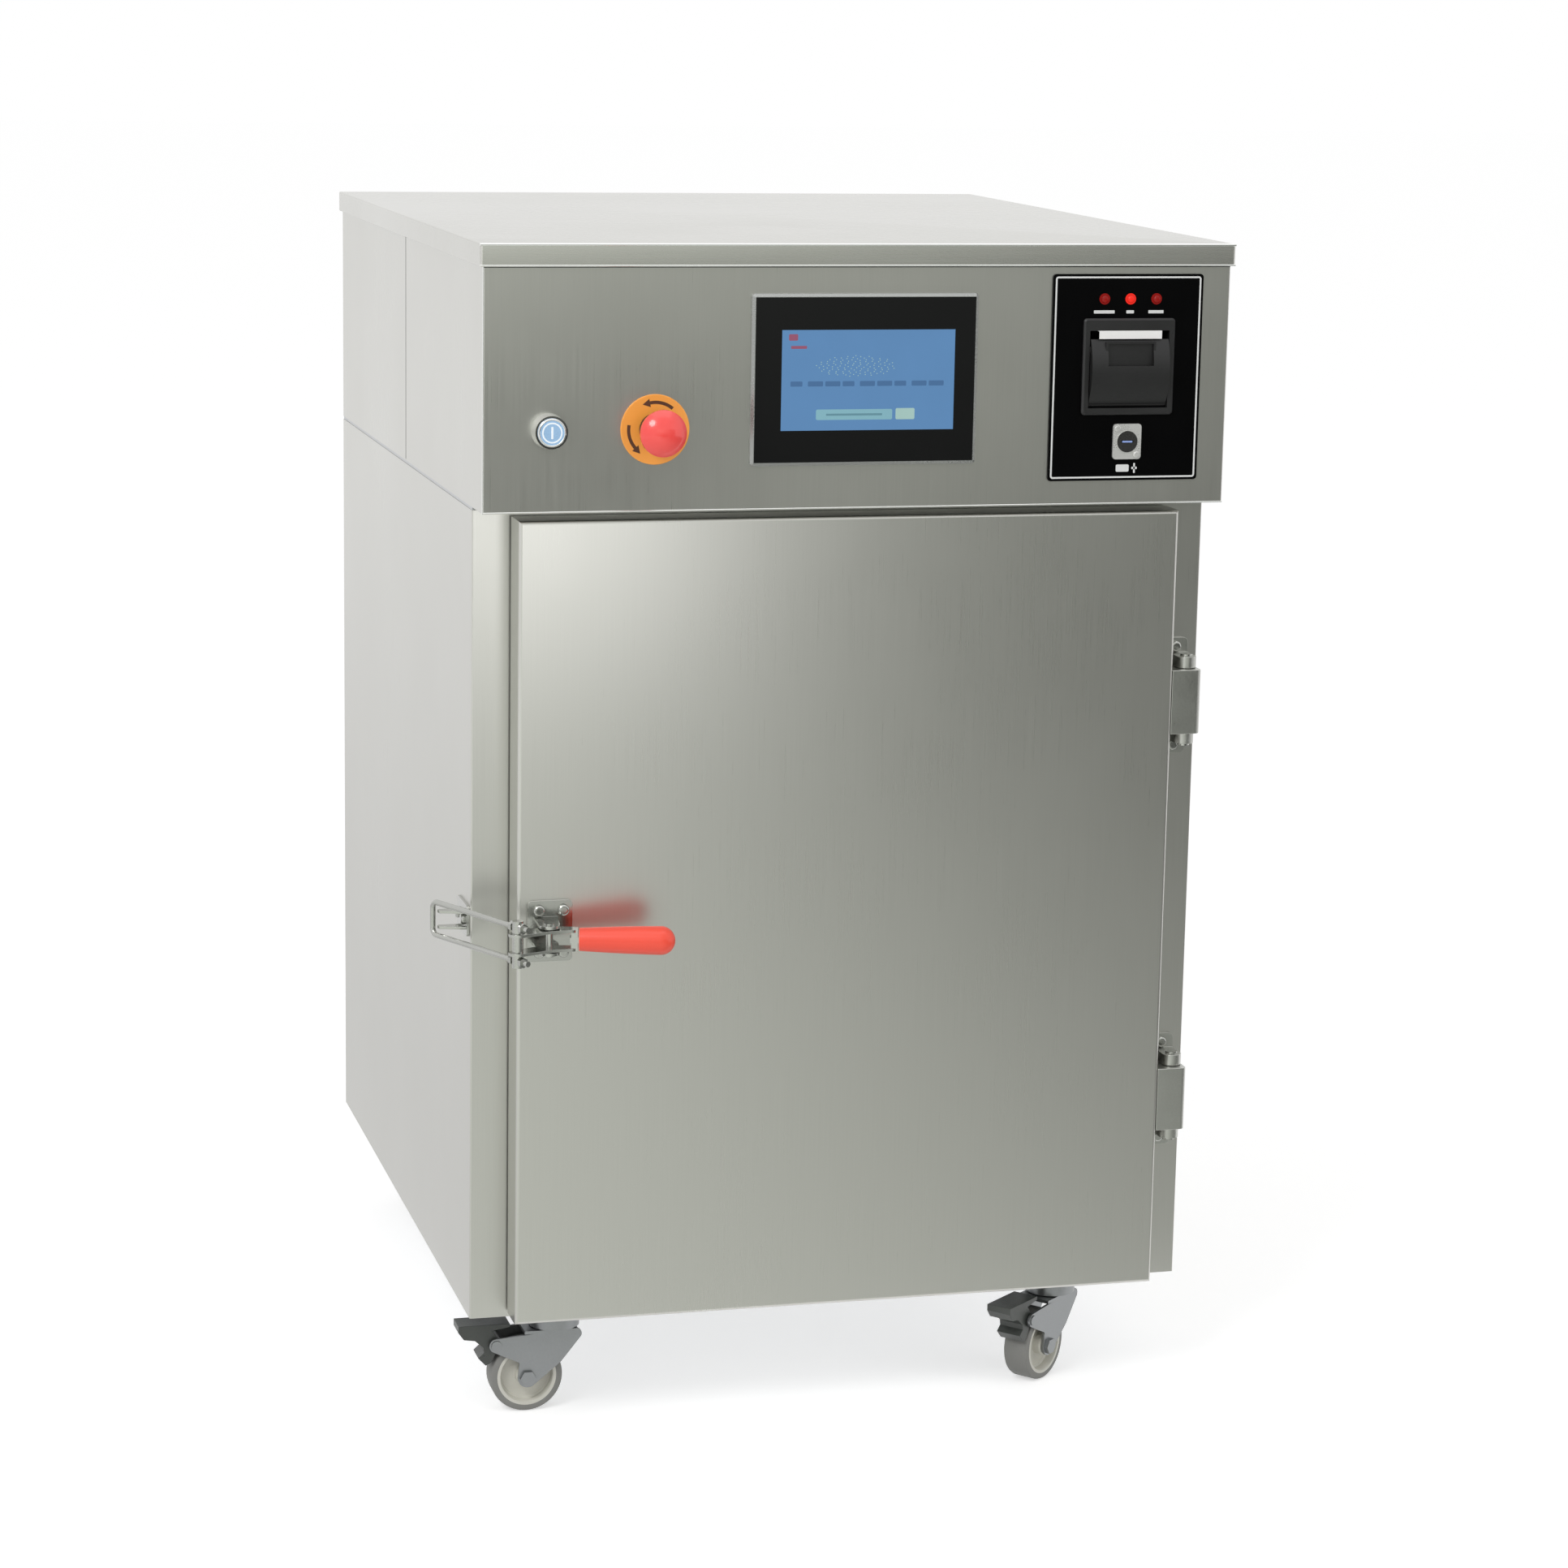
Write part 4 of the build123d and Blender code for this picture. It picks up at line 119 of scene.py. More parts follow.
def mirrored_card(name, place, width, height, corners, spread, feather, tone=(1, 1, 1), only_in=()):
    """A card seen by mirror rays alone. Its brightness is given at the corners of its middle part,
    which is as wide as spread, and it fades out at its rim over feather. With only_in, no other
    node mirrors it."""
    card = stage_sheet(name, place, width, height)
    card.visible_camera = False
    card.visible_diffuse = False
    card.visible_shadow = False
    card.visible_transmission = False
    paint = bpy.data.materials.new(name)
    paint.use_nodes = True
    nodes, links = paint.node_tree.nodes, paint.node_tree.links
    nodes.clear()
    spot = nodes.new("ShaderNodeSeparateXYZ")
    links.new(nodes.new("ShaderNodeTexCoord").outputs["Object"], spot.inputs[0])

    def across(value, low, high, at_low, at_high):
        ramp = nodes.new("ShaderNodeMapRange")
        ramp.interpolation_type = "SMOOTHSTEP"
        for key, number in (("From Min", low), ("From Max", high), ("To Min", at_low), ("To Max", at_high)):
            ramp.inputs[key].default_value = number
        links.new(value, ramp.inputs["Value"])
        return ramp.outputs["Result"]

    def combine(how, a, b):
        node = nodes.new("ShaderNodeMath")
        node.operation = how
        links.new(a, node.inputs[0])
        links.new(b, node.inputs[1])
        return node.outputs[0]

    x, y = spot.outputs["X"], spot.outputs["Y"]
    low_left, low_right, top_left, top_right = corners
    foot = across(x, -spread / 2, spread / 2, low_left, low_right)
    head = across(x, -spread / 2, spread / 2, top_left, top_right)
    rise = across(y, -height / 2, height / 2, 0.0, 1.0)
    fall = across(y, -height / 2, height / 2, 1.0, 0.0)
    level = combine("ADD", combine("MULTIPLY", head, rise), combine("MULTIPLY", foot, fall))
    cover = None
    for value, half, soft in ((x, width / 2, feather[0]), (y, height / 2, feather[1])):
        for side in (-1, 1):
            edge = across(value, side * half, side * (half - soft), 0.0, 1.0)
            cover = edge if cover is None else combine("MULTIPLY", cover, edge)
    glow = nodes.new("ShaderNodeEmission")
    glow.inputs["Color"].default_value = (*tone, 1)
    links.new(level, glow.inputs["Strength"])
    mix = nodes.new("ShaderNodeMixShader")
    links.new(cover, mix.inputs["Fac"])
    links.new(nodes.new("ShaderNodeBsdfTransparent").outputs[0], mix.inputs[1])
    links.new(glow.outputs[0], mix.inputs[2])
    links.new(mix.outputs[0], nodes.new("ShaderNodeOutputMaterial").inputs["Surface"])
    card.data.materials.append(paint)
    if only_in:
        shown = bpy.data.collections.new("mirrors " + name)
        for node in only_in:
            shown.objects.link(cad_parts[node])
        card.light_linking.receiver_collection = shown


def soft_lamp(name, spot, aim, size, power, mirrored):
    """A round area lamp at a spot, turned to its aim; metres and watts."""
    lamp = bpy.data.objects.new(name, bpy.data.lights.new(name, "AREA"))
    lamp.data.shape = "DISK"
    lamp.data.size = size
    lamp.data.energy = power
    turn = (Vector(aim) - Vector(spot)).to_track_quat("-Z", "Y").to_matrix().to_4x4()
    lamp.matrix_world = Matrix.Translation(spot) @ turn
    lamp.visible_glossy = mirrored
    bpy.context.collection.objects.link(lamp)


facing_object = Matrix.Rotation(math.radians(-90), 4, "X") @ Matrix.Rotation(math.radians(180), 4, "Z")
facing_down = Matrix.Rotation(math.radians(180), 4, "X")
pale_world()
white_floor()
mirrored_card(
    "grey_backdrop", Matrix.Translation((1.3, -4.8, 0.8)) @ facing_object, 7.6, 2.8,
    (0.07, 0.17, 0.16, 1.5), 5.0, (0.6, 0.3), (0.96, 1.0, 0.92),
)
mirrored_card(
    "grey_cloth", Matrix.Translation((0.5, -2.70, 0.012)), 6.4, 4.6,
    (1.32, 0.05, 0.88, 0.15), 2.6, (0.6, 0.15), (0.97, 1.0, 0.94),
)
mirrored_card(
    "side_cloth", Matrix.Translation((-1.7, 3.1, 0.010)), 3.4, 8.0,
    (0.86, 0.80, 1.0, 1.0), 3.0, (0.5, 0.6),
)
mirrored_card(
    "softbox", Matrix.Translation((-0.06, -1.6, 0.69)) @ facing_object, 0.7, 0.60,
    (2.0, 2.0, 2.5, 2.5), 0.7, (0.25, 0.28), only_in=("door_skin", "front_frame"),
)
mirrored_card(
    "ceiling_light", Matrix.Translation((0, -0.6, 3.2)) @ facing_down, 3.2, 2.6,
    (1.7, 1.7, 1.7, 1.7), 3.0, (0.5, 0.5),
)
soft_lamp("key_lamp", (-2.4, -2.6, 3.2), (0, 0, 0.6), 1.6, 55, True)
soft_lamp("fill_lamp", (2.6, -2.4, 1.8), (0, 0, 0.5), 2.0, 12, False)


# Sheet steel of the chamber cabinet: wrap, front frame, floor pan and deck. The wrap and the frame
# are folded from brushed stainless with its grain upright, the pan and the deck from zinc-coated
# sheet, and all are spot-welded from inside.
def blank_finish(name):
    finish = bpy.data.materials.new(name)
    finish.use_nodes = True
    nodes, links = finish.node_tree.nodes, finish.node_tree.links
    return finish, nodes, links, nodes["Principled BSDF"]


def empty_group(name, inputs, outputs):
    """A shader node group with its sockets, given as (name, kind, value)."""
    group = bpy.data.node_groups.new(name, "ShaderNodeTree")
    for label, kind, value in inputs:
        socket = group.interface.new_socket(label, in_out="INPUT", socket_type="NodeSocket" + kind)
        socket.default_value = value
    for label, kind in outputs:
        group.interface.new_socket(label, in_out="OUTPUT", socket_type="NodeSocket" + kind)
    return group, group.nodes.new("NodeGroupInput"), group.nodes.new("NodeGroupOutput")


def math_node(tree, how, a, b):
    """A math node on two sockets or numbers."""
    node = tree.nodes.new("ShaderNodeMath")
    node.operation = how
    for slot, value in zip(node.inputs, (a, b)):
        if isinstance(value, (int, float)):
            slot.default_value = value
        else:
            tree.links.new(value, slot)
    return node.outputs[0]


def noise_node(tree, vector, scale, detail=3.0, roughness=0.55):
    node = tree.nodes.new("ShaderNodeTexNoise")
    node.inputs["Scale"].default_value = scale
    node.inputs["Detail"].default_value = detail
    node.inputs["Roughness"].default_value = roughness
    tree.links.new(vector, node.inputs["Vector"])
    return node.outputs["Fac"]


def shaded(tree, tint, amount):
    """The tint times one plus an amount that changes over the surface."""
    factor = math_node(tree, "ADD", amount, 1.0)
    scaled = tree.nodes.new("ShaderNodeVectorMath")
    scaled.operation = "SCALE"
    tree.links.new(tint, scaled.inputs[0])
    tree.links.new(factor, scaled.inputs["Scale"])
    return scaled.outputs[0]


def bump_node(tree, height, strength, distance):
    node = tree.nodes.new("ShaderNodeBump")
    node.inputs["Distance"].default_value = distance
    tree.links.new(height, node.inputs["Height"])
    tree.links.new(strength, node.inputs["Strength"])
    return node.outputs["Normal"]


def brushed_group():
    """Fine streaks along the sheet's grain, and wide faint smears of handling."""
    group, given, out = empty_group(
        "brushed grain",
        [
            ("Tint", "Color", (0.6, 0.6, 0.57, 1)), ("Roughness", "Float", 0.3),
            ("Grain", "Vector", (900, 900, 7)), ("Streak", "Float", 0.1),
            ("Smear", "Float", 0.08), ("Depth", "Float", 0.1),
        ],
        [("Color", "Color"), ("Roughness", "Float"), ("Normal", "Vector")],
    )
    place = group.nodes.new("ShaderNodeTexCoord").outputs["Object"]
    stretched = group.nodes.new("ShaderNodeVectorMath")
    stretched.operation = "MULTIPLY"
    group.links.new(place, stretched.inputs[0])
    group.links.new(given.outputs["Grain"], stretched.inputs[1])
    streak = math_node(group, "SUBTRACT", noise_node(group, stretched.outputs[0], 1.0, 4.0, 0.6), 0.5)
    smear = math_node(group, "SUBTRACT", noise_node(group, place, 5.0, 4.0, 0.6), 0.5)
    streaks = math_node(group, "MULTIPLY", streak, given.outputs["Streak"])
    smears = math_node(group, "MULTIPLY", smear, given.outputs["Smear"])
    group.links.new(shaded(group, given.outputs["Tint"], streaks), out.inputs["Color"])
    rough = math_node(group, "ADD", given.outputs["Roughness"], math_node(group, "ADD", streaks, smears))
    group.links.new(rough, out.inputs["Roughness"])
    group.links.new(bump_node(group, streak, given.outputs["Depth"], 0.0004), out.inputs["Normal"])
    return group


brushed_grain = brushed_group()


def grained(name, group, tint, metallic, values):
    """A finish whose colour, roughness and bump come from a grain group."""
    finish, nodes, links, shader = blank_finish(name)
    grains = nodes.new("ShaderNodeGroup")
    grains.node_tree = group
    grains.inputs["Tint"].default_value = (*tint, 1)
    for label, value in values.items():
        grains.inputs[label].default_value = value
    for label, socket in (("Color", "Base Color"), ("Roughness", "Roughness"), ("Normal", "Normal")):
        links.new(grains.outputs[label], shader.inputs[socket])
    shader.inputs["Metallic"].default_value = metallic
    return finish


def brushed_steel(name, tint, rough, grain, streak=0.1, smear=0.08, depth=0.008):
    """Bare brushed steel; grain is how fast its streaks change along X, Y and Z."""
    values = {"Roughness": rough, "Grain": grain, "Streak": streak, "Smear": smear, "Depth": depth}
    return grained(name, brushed_grain, tint, 1.0, values)


def dress(finish, *names):
    """Gives CAD pieces their finish."""
    for name in names:
        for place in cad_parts[name].material_slots:
            place.material = finish


def spangle_group():
    """Crystal patches of a zinc coat or the fine speckle of a cast, moulded or rubber surface."""
    group, given, out = empty_group(
        "speckle",
        [
            ("Tint", "Color", (0.5, 0.5, 0.5, 1)), ("Roughness", "Float", 0.4),
            ("Size", "Float", 400.0), ("Mottle", "Float", 0.1),
            ("Wear", "Float", 0.1), ("Depth", "Float", 0.1),
        ],
        [("Color", "Color"), ("Roughness", "Float"), ("Normal", "Vector")],
    )
    place = group.nodes.new("ShaderNodeTexCoord").outputs["Object"]
    sized = group.nodes.new("ShaderNodeVectorMath")
    sized.operation = "SCALE"
    group.links.new(place, sized.inputs[0])
    group.links.new(given.outputs["Size"], sized.inputs["Scale"])
    fine = math_node(group, "SUBTRACT", noise_node(group, sized.outputs[0], 1.0, 3.0), 0.5)
    wide = math_node(group, "SUBTRACT", noise_node(group, place, 22.0, 4.0), 0.5)
    mottle = math_node(group, "MULTIPLY", fine, given.outputs["Mottle"])
    wear = math_node(group, "MULTIPLY", wide, given.outputs["Wear"])
    both = math_node(group, "ADD", mottle, wear)
    group.links.new(shaded(group, given.outputs["Tint"], both), out.inputs["Color"])
    group.links.new(math_node(group, "ADD", given.outputs["Roughness"], both), out.inputs["Roughness"])
    group.links.new(bump_node(group, fine, given.outputs["Depth"], 0.0003), out.inputs["Normal"])
    return group


speckle = spangle_group()


def speckled(name, tint, rough, size, mottle, wear, depth=0.1, metallic=0.0):
    """Plated, cast, moulded or printed colour; size is how many speckles fit in a metre."""
    values = {"Roughness": rough, "Size": size, "Mottle": mottle, "Wear": wear, "Depth": depth}
    return grained(name, speckle, tint, metallic, values)


STEEL = (0.579, 0.575, 0.544)
UPRIGHT, SIDEWAYS = (1500, 1500, 9), (9, 1500, 1500)
upright_steel = brushed_steel("upright brushed steel", STEEL, 0.30, UPRIGHT)
zinc_sheet = speckled("zinc-coated sheet", (0.56, 0.57, 0.58), 0.42, 260, 0.25, 0.2, 0.15, 1.0)
dress(upright_steel, "body_wrap", "front_frame")
dress(zinc_sheet, "base_pan", "top_deck")

# The chamber: a welded liner of bright stainless with its fan baffle, fan, heater, rails and
# slotted shelves, wrapped in pale mineral wool.
chamber_steel = brushed_steel("chamber steel", (0.66, 0.66, 0.63), 0.26, SIDEWAYS, 0.08, 0.1)
cast_metal = speckled("cast metal", (0.42, 0.43, 0.44), 0.5, 700, 0.25, 0.2, 0.3, 0.9)
mineral_wool = speckled("mineral wool", (0.62, 0.56, 0.36), 0.95, 240, 0.6, 0.4, 1.0)
dress(
    chamber_steel, "chamber_liner", "rear_baffle", "heating_element", "fan_impeller",
    "shelf_rails", "shelf_lower", "shelf_upper",
)
dress(cast_metal, "fan_motor")
dress(mineral_wool, "insulation", "door_insulation")

# The works inside the head: vacuum pump and its pipes, the control case, and the mains inlet that
# clips into the back of the rear housing.
case_plastic = speckled("control case plastic", (0.30, 0.31, 0.32), 0.5, 900, 0.15, 0.1, 0.2)
black_plastic = speckled("black moulded plastic", (0.022, 0.022, 0.023), 0.38, 1400, 0.3, 0.3, 0.25)
dress(cast_metal, "vacuum_pump", "vacuum_pipes")
dress(case_plastic, "control_electronics")
dress(black_plastic, "power_inlet")

# The head's shells: console in front, housing behind, and the cover pressed over both. All three
# are folded brushed stainless, its grain upright on the shells and from side to side on the cover.
head_steel = brushed_steel("console steel", STEEL, 0.30, UPRIGHT, 0.1, 0.1)
cover_steel = brushed_steel("cover steel", STEEL, 0.27, SIDEWAYS, 0.1, 0.14)
dress(head_steel, "console_shell", "rear_housing")


def new_piece(name, shape, finishes, body, smooth_angle=None):
    """Makes the bmesh an object that rides on a body."""
    mesh = bpy.data.meshes.new(name)
    shape.normal_update()
    shape.to_mesh(mesh)
    shape.free()
    for finish in finishes:
        mesh.materials.append(finish)
    piece = bpy.data.objects.new(name, mesh)
    bpy.context.collection.objects.link(piece)
    if smooth_angle is not None:
        mesh.shade_smooth()
        mesh.set_sharp_from_angle(angle=math.radians(smooth_angle))
    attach(piece, body)
    return piece


def refined(name, body, finish, width=0.4, sharp=35):
    """A merged copy of a CAD piece with its sharp edges broken by a small bevel."""
    shape = bmesh.new()
    shape.from_mesh(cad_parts[name].data)
    bmesh.ops.remove_doubles(shape, verts=shape.verts, dist=2e-6)
    bmesh.ops.dissolve_limit(
        shape, angle_limit=math.radians(0.6), verts=shape.verts, edges=shape.edges, delimit=set()
    )
    piece = new_piece(name + "_refined", shape, [finish], body)
    for layer in ("custom_normal", "sharp_face"):
        if layer in piece.data.attributes:
            piece.data.attributes.remove(piece.data.attributes[layer])
    piece.data.shade_smooth()
    piece.data.set_sharp_from_angle(angle=math.radians(sharp))
    bevel = piece.modifiers.new("broken edges", "BEVEL")
    bevel.width = width / 1000
    bevel.segments = 2
    bevel.limit_method = "ANGLE"
    bevel.angle_limit = math.radians(40)
    bevel.harden_normals = True
    bevel.use_clamp_overlap = True
    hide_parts(name)


def painted_seam_shade_strips():
    """Painted shade: dark strips in the side seams between console and housing, and under the cover's front
    hem, where the gaps lie in shade.
    """
    front_low, front_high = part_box("console_shell")
    rear_low, rear_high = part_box("rear_housing")
    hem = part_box("top_cover")[0].z
    thick, proud, seam_wide, seam_end = 0.0011, 0.00006, 0.0018, 0.0015
    hem_thick, hem_wide = 0.0009, 0.0016
    shape = bmesh.new()

    def strip(middle, size):
        made = bmesh.ops.create_cube(shape, size=1)["verts"]
        bmesh.ops.scale(shape, vec=size, verts=made)
        bmesh.ops.transform(shape, matrix=Matrix.Translation(middle), verts=made)

    high = rear_high.z - rear_low.z - 2 * seam_end
    for side, inward in ((rear_low.x, 1), (rear_high.x, -1)):
        x = side + inward * (thick / 2 - proud)
        strip((x, rear_low.y - 0.0004, rear_low.z + seam_end + high / 2), (thick, seam_wide, high))
    middle, long = (front_low.x + front_high.x) / 2, front_high.x - front_low.x - 0.001
    strip((middle, front_low.y + hem_thick / 3, hem - hem_wide / 4), (long, hem_thick, hem_wide))
    # Near-black paint that stands in for the shade inside the seam gaps.
    seam_shade_paint = speckled("painted seam shade", (0.03, 0.032, 0.03), 0.6, 1200, 0.2, 0.2)
    new_piece("painted_seam_shade", shape, [seam_shade_paint], "cabinet")


def painted_fold_highlights():
    """Painted highlights on the folds: pale steel rods along the cover's front edge and hem, the console's
    lower and left front edges.
    Each is a rod sunk into its edge, so that only its round side stands out; its pale tint paints the bright
    line of the fold."""
    cover_low, cover_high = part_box("top_cover")
    head_low, head_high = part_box("console_shell")
    edge, hem = cover_high.z - 0.0009, cover_low.z + 0.0006
    foot, left, sunk = head_low.z + 0.0005, head_low.x + 0.0004, 0.65
    shape = bmesh.new()
    for radius, front, x0, z0, x1, z1 in (
        (0.0013, cover_low.y, cover_low.x, edge, cover_high.x, edge),
        (0.0009, cover_low.y, cover_low.x, hem, cover_high.x, hem),
        (0.0008, head_low.y, head_low.x, foot, head_high.x, foot),
        (0.0007, head_low.y, left, head_low.z, left, cover_low.z),
    ):
        y = front + sunk * radius
        start, end = Vector((x0, y, z0)), Vector((x1, y, z1))
        rod = bmesh.ops.create_cone(
            shape, cap_ends=True, segments=20, radius1=radius, radius2=radius, depth=(end - start).length
        )["verts"]
        along = (end - start).to_track_quat("Z", "Y").to_matrix().to_4x4()
        bmesh.ops.transform(shape, matrix=Matrix.Translation((start + end) / 2) @ along, verts=rod)
    # A tint paler than the sheet steel, painting the highlight along each fold.
    fold_highlight_paint = speckled("painted fold highlight", (0.80, 0.81, 0.79), 0.2, 900, 0.06, 0.1, 0.05, 1.0)
    new_piece("painted_fold_highlights", shape, [fold_highlight_paint], "cabinet", 40)


refined("top_cover", "cabinet", cover_steel, 0.6)
# Painted shade in the head's seam gaps and under the cover's hem.
painted_seam_shade_strips()
# Painted highlights along the head's folds.
painted_fold_highlights()


# The touch screen: a moulded frame round a flush black glass, lit from behind by a panel that shows
# plain blocks. The picture lies a hair in front of the glass, because the glass lets no light through.
def raise_faces(shape, flat, thick):
    """Gives flat faces that look towards -Y a thickness in millimetres, their back where they were."""
    lifted = bmesh.ops.extrude_face_region(shape, geom=list(flat), use_keep_orig=True)["geom"]
    front = [v for v in lifted if isinstance(v, bmesh.types.BMVert)]
    bmesh.ops.translate(shape, vec=(0, -thick / 1000, 0), verts=front)
    whole = set(flat)
    for vert in front:
        whole.update(vert.link_faces)
    bmesh.ops.recalc_face_normals(shape, faces=list(whole))


def flat_outline(shape, x0, x1, z0, z1, front, radius=0.0, steps=5):
    """A flat face that looks towards -Y, with round corners; millimetres."""
    before = set(shape.faces)
    made = bmesh.ops.create_grid(shape, x_segments=1, y_segments=1, size=0.5)["verts"]
    middle = Matrix.Translation(((x0 + x1) / 2000, front / 1000, (z0 + z1) / 2000))
    bmesh.ops.scale(shape, vec=((x1 - x0) / 1000, (z1 - z0) / 1000, 1), verts=made)
    bmesh.ops.transform(shape, matrix=middle @ Matrix.Rotation(math.radians(90), 4, "X"), verts=made)
    if radius:
        bmesh.ops.bevel(
            shape, geom=made, offset=radius / 1000, offset_type="OFFSET", affect="VERTICES", segments=steps,
            profile=0.5, material=-1,
        )
    return list(set(shape.faces) - before)


def tile(shape, x0, x1, z0, z1, front, thick, radius=0.0, finish=0):
    """A flat plate on a front face, with round corners; millimetres."""
    before = set(shape.faces)
    raise_faces(shape, flat_outline(shape, x0, x1, z0, z1, front, radius), thick)
    for face in set(shape.faces) - before:
        face.material_index = finish


def lit_pixels(name, color):
    """A colour of the lit picture, with a fine grain of pixels."""
    finish, nodes, links, shader = blank_finish(name)
    grains = nodes.new("ShaderNodeGroup")
    grains.node_tree = speckle
    grains.inputs["Tint"].default_value = (*color, 1)
    grains.inputs["Size"].default_value = 3000
    grains.inputs["Wear"].default_value = 0.12
    links.new(grains.outputs["Color"], shader.inputs["Emission Color"])
    shader.inputs["Emission Strength"].default_value = 1.0
    shader.inputs["Base Color"].default_value = (color[0] * 0.2, color[1] * 0.2, color[2] * 0.2, 1)
    shader.inputs["Roughness"].default_value = 0.25
    return finish


def tuned(finish, **values):
    """Sets sockets of a finish's shader, named with _ for each space, and gives the finish back."""
    shader = finish.node_tree.nodes["Principled BSDF"]
    for name, value in values.items():
        shader.inputs[name.replace("_", " ")].default_value = value
    return finish


screen_black = tuned(
    speckled("screen glass", (0.003, 0.003, 0.0035), 0.12, 1200, 0.2, 0.2, 0.05),
    Specular_IOR_Level=0.35,
)
bezel_grey = speckled("screen frame grey", (0.34, 0.35, 0.34), 0.26, 900, 0.1, 0.15, 0.1, 0.7)
dress(screen_black, "screen_glass")
refined("screen_bezel", "cabinet", bezel_grey, 0.3)


def display_picture():
    """Lit area of the screen with blocks for its badge, cloud of dots, line, button and field."""
    low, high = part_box("screen_glass")
    left_margin, top_margin, width, height = 23.0, 27.5, 154.0, 86.0
    sheet, block, dots, golden_angle = 0.08, 0.06, 110, 2.39996
    blue, red, line, pale, button, button_bar = range(6)
    x0, front, z1 = low.x * 1000 + left_margin, low.y * 1000, high.z * 1000 - top_margin
    shape = bmesh.new()
    tile(shape, x0, x0 + width, z1 - height, z1, front, sheet, 0.0, blue)
    front -= sheet
    tile(shape, x0 + 6, x0 + 14, z1 - 9, z1 - 3.5, front, block, 1.0, red)
    tile(shape, x0 + 8, x0 + 22, z1 - 16, z1 - 13.5, front, block, 0.6, red)
    for i in range(9):
        start, long = x0 + 8 + i * 15.4, 13.4 if i % 3 else 10.5
        tile(shape, start, start + long, z1 - 48.2, z1 - 43.8, front, block, 0.8, line)
    for i in range(dots):
        angle, reach = i * golden_angle, math.sqrt((i + 0.5) / dots)
        x, z = x0 + 66 + 36 * reach * math.cos(angle), z1 - 31 + 9 * reach * math.sin(angle)
        tile(shape, x - 0.38, x + 0.38, z - 0.34, z + 0.34, front, block, 0.0, pale)
    tile(shape, x0 + 31, x0 + 99, z1 - 77, z1 - 68, front, block, 1.4, button)
    tile(shape, x0 + 40, x0 + 90, z1 - 73.4, z1 - 71.6, front - block, 0.05, 0.5, button_bar)
    tile(shape, x0 + 102, x0 + 119, z1 - 77, z1 - 67.4, front, block, 1.2, pale)
    finishes = [
        lit_pixels("display blue", (0.085, 0.20, 0.385)),
        lit_pixels("display icon red", (0.24, 0.07, 0.12)),
        lit_pixels("display line", (0.05, 0.125, 0.26)),
        lit_pixels("display pale", (0.30, 0.45, 0.42)),
        lit_pixels("display button", (0.18, 0.36, 0.42)),
        lit_pixels("display button bar", (0.10, 0.22, 0.27)),
    ]
    new_piece("display_picture", shape, finishes, "cabinet")


display_picture()

# The black plate at the right of the console: painted metal with a white line printed round it,
# short white label bars, three red lamps, the receipt printer and the round data socket.
plate_paint = tuned(
    speckled("black plate paint", (0.0016, 0.0016, 0.0018), 0.3, 1200, 0.2, 0.2, 0.05),
    Specular_IOR_Level=0.05,
)


def socket_metal():
    """Bright die-cast flange whose round face in the middle is black."""
    finish = speckled("socket metal", (0.72, 0.72, 0.70), 0.3, 900, 0.12, 0.15)
    face_radius, face_shade, plated = 0.0094, 0.035, 0.55
    tree = finish.node_tree
    shader, grains = tree.nodes["Principled BSDF"], tree.nodes["Group"]
    low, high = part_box("data_socket")
    middle = (low + high) / 2
    centred = tree.nodes.new("ShaderNodeMapping")
    centred.inputs["Location"].default_value = (-middle.x, 0, -middle.z)
    centred.inputs["Scale"].default_value = (1, 0, 1)
    tree.links.new(tree.nodes.new("ShaderNodeTexCoord").outputs["Object"], centred.inputs["Vector"])
    reach = tree.nodes.new("ShaderNodeVectorMath")
    reach.operation = "LENGTH"
    tree.links.new(centred.outputs["Vector"], reach.inputs[0])
    outside = math_node(tree, "GREATER_THAN", reach.outputs["Value"], face_radius)
    tint = tree.nodes.new("ShaderNodeVectorMath")
    tint.operation = "SCALE"
    tree.links.new(grains.outputs["Color"], tint.inputs[0])
    tree.links.new(math_node(tree, "MAXIMUM", outside, face_shade), tint.inputs["Scale"])
    tree.links.new(tint.outputs[0], shader.inputs["Base Color"])
    tree.links.new(math_node(tree, "MULTIPLY", outside, plated), shader.inputs["Metallic"])
    return finish


print_white = speckled("printed white", (0.72, 0.73, 0.72), 0.5, 2200, 0.15, 0.1)
receipt_paper = speckled("receipt paper", (0.86, 0.86, 0.84), 0.75, 1600, 0.08, 0.06, 0.2)
dress(plate_paint, "printer_plate")
dress(socket_metal(), "data_socket")
dress(receipt_paper, "paper_roll", "paper_strip")
printer_black = speckled("printer black", (0.011, 0.011, 0.0115), 0.4, 1400, 0.3, 0.3, 0.25)
dress(printer_black, "printer_frame", "printer_cover")


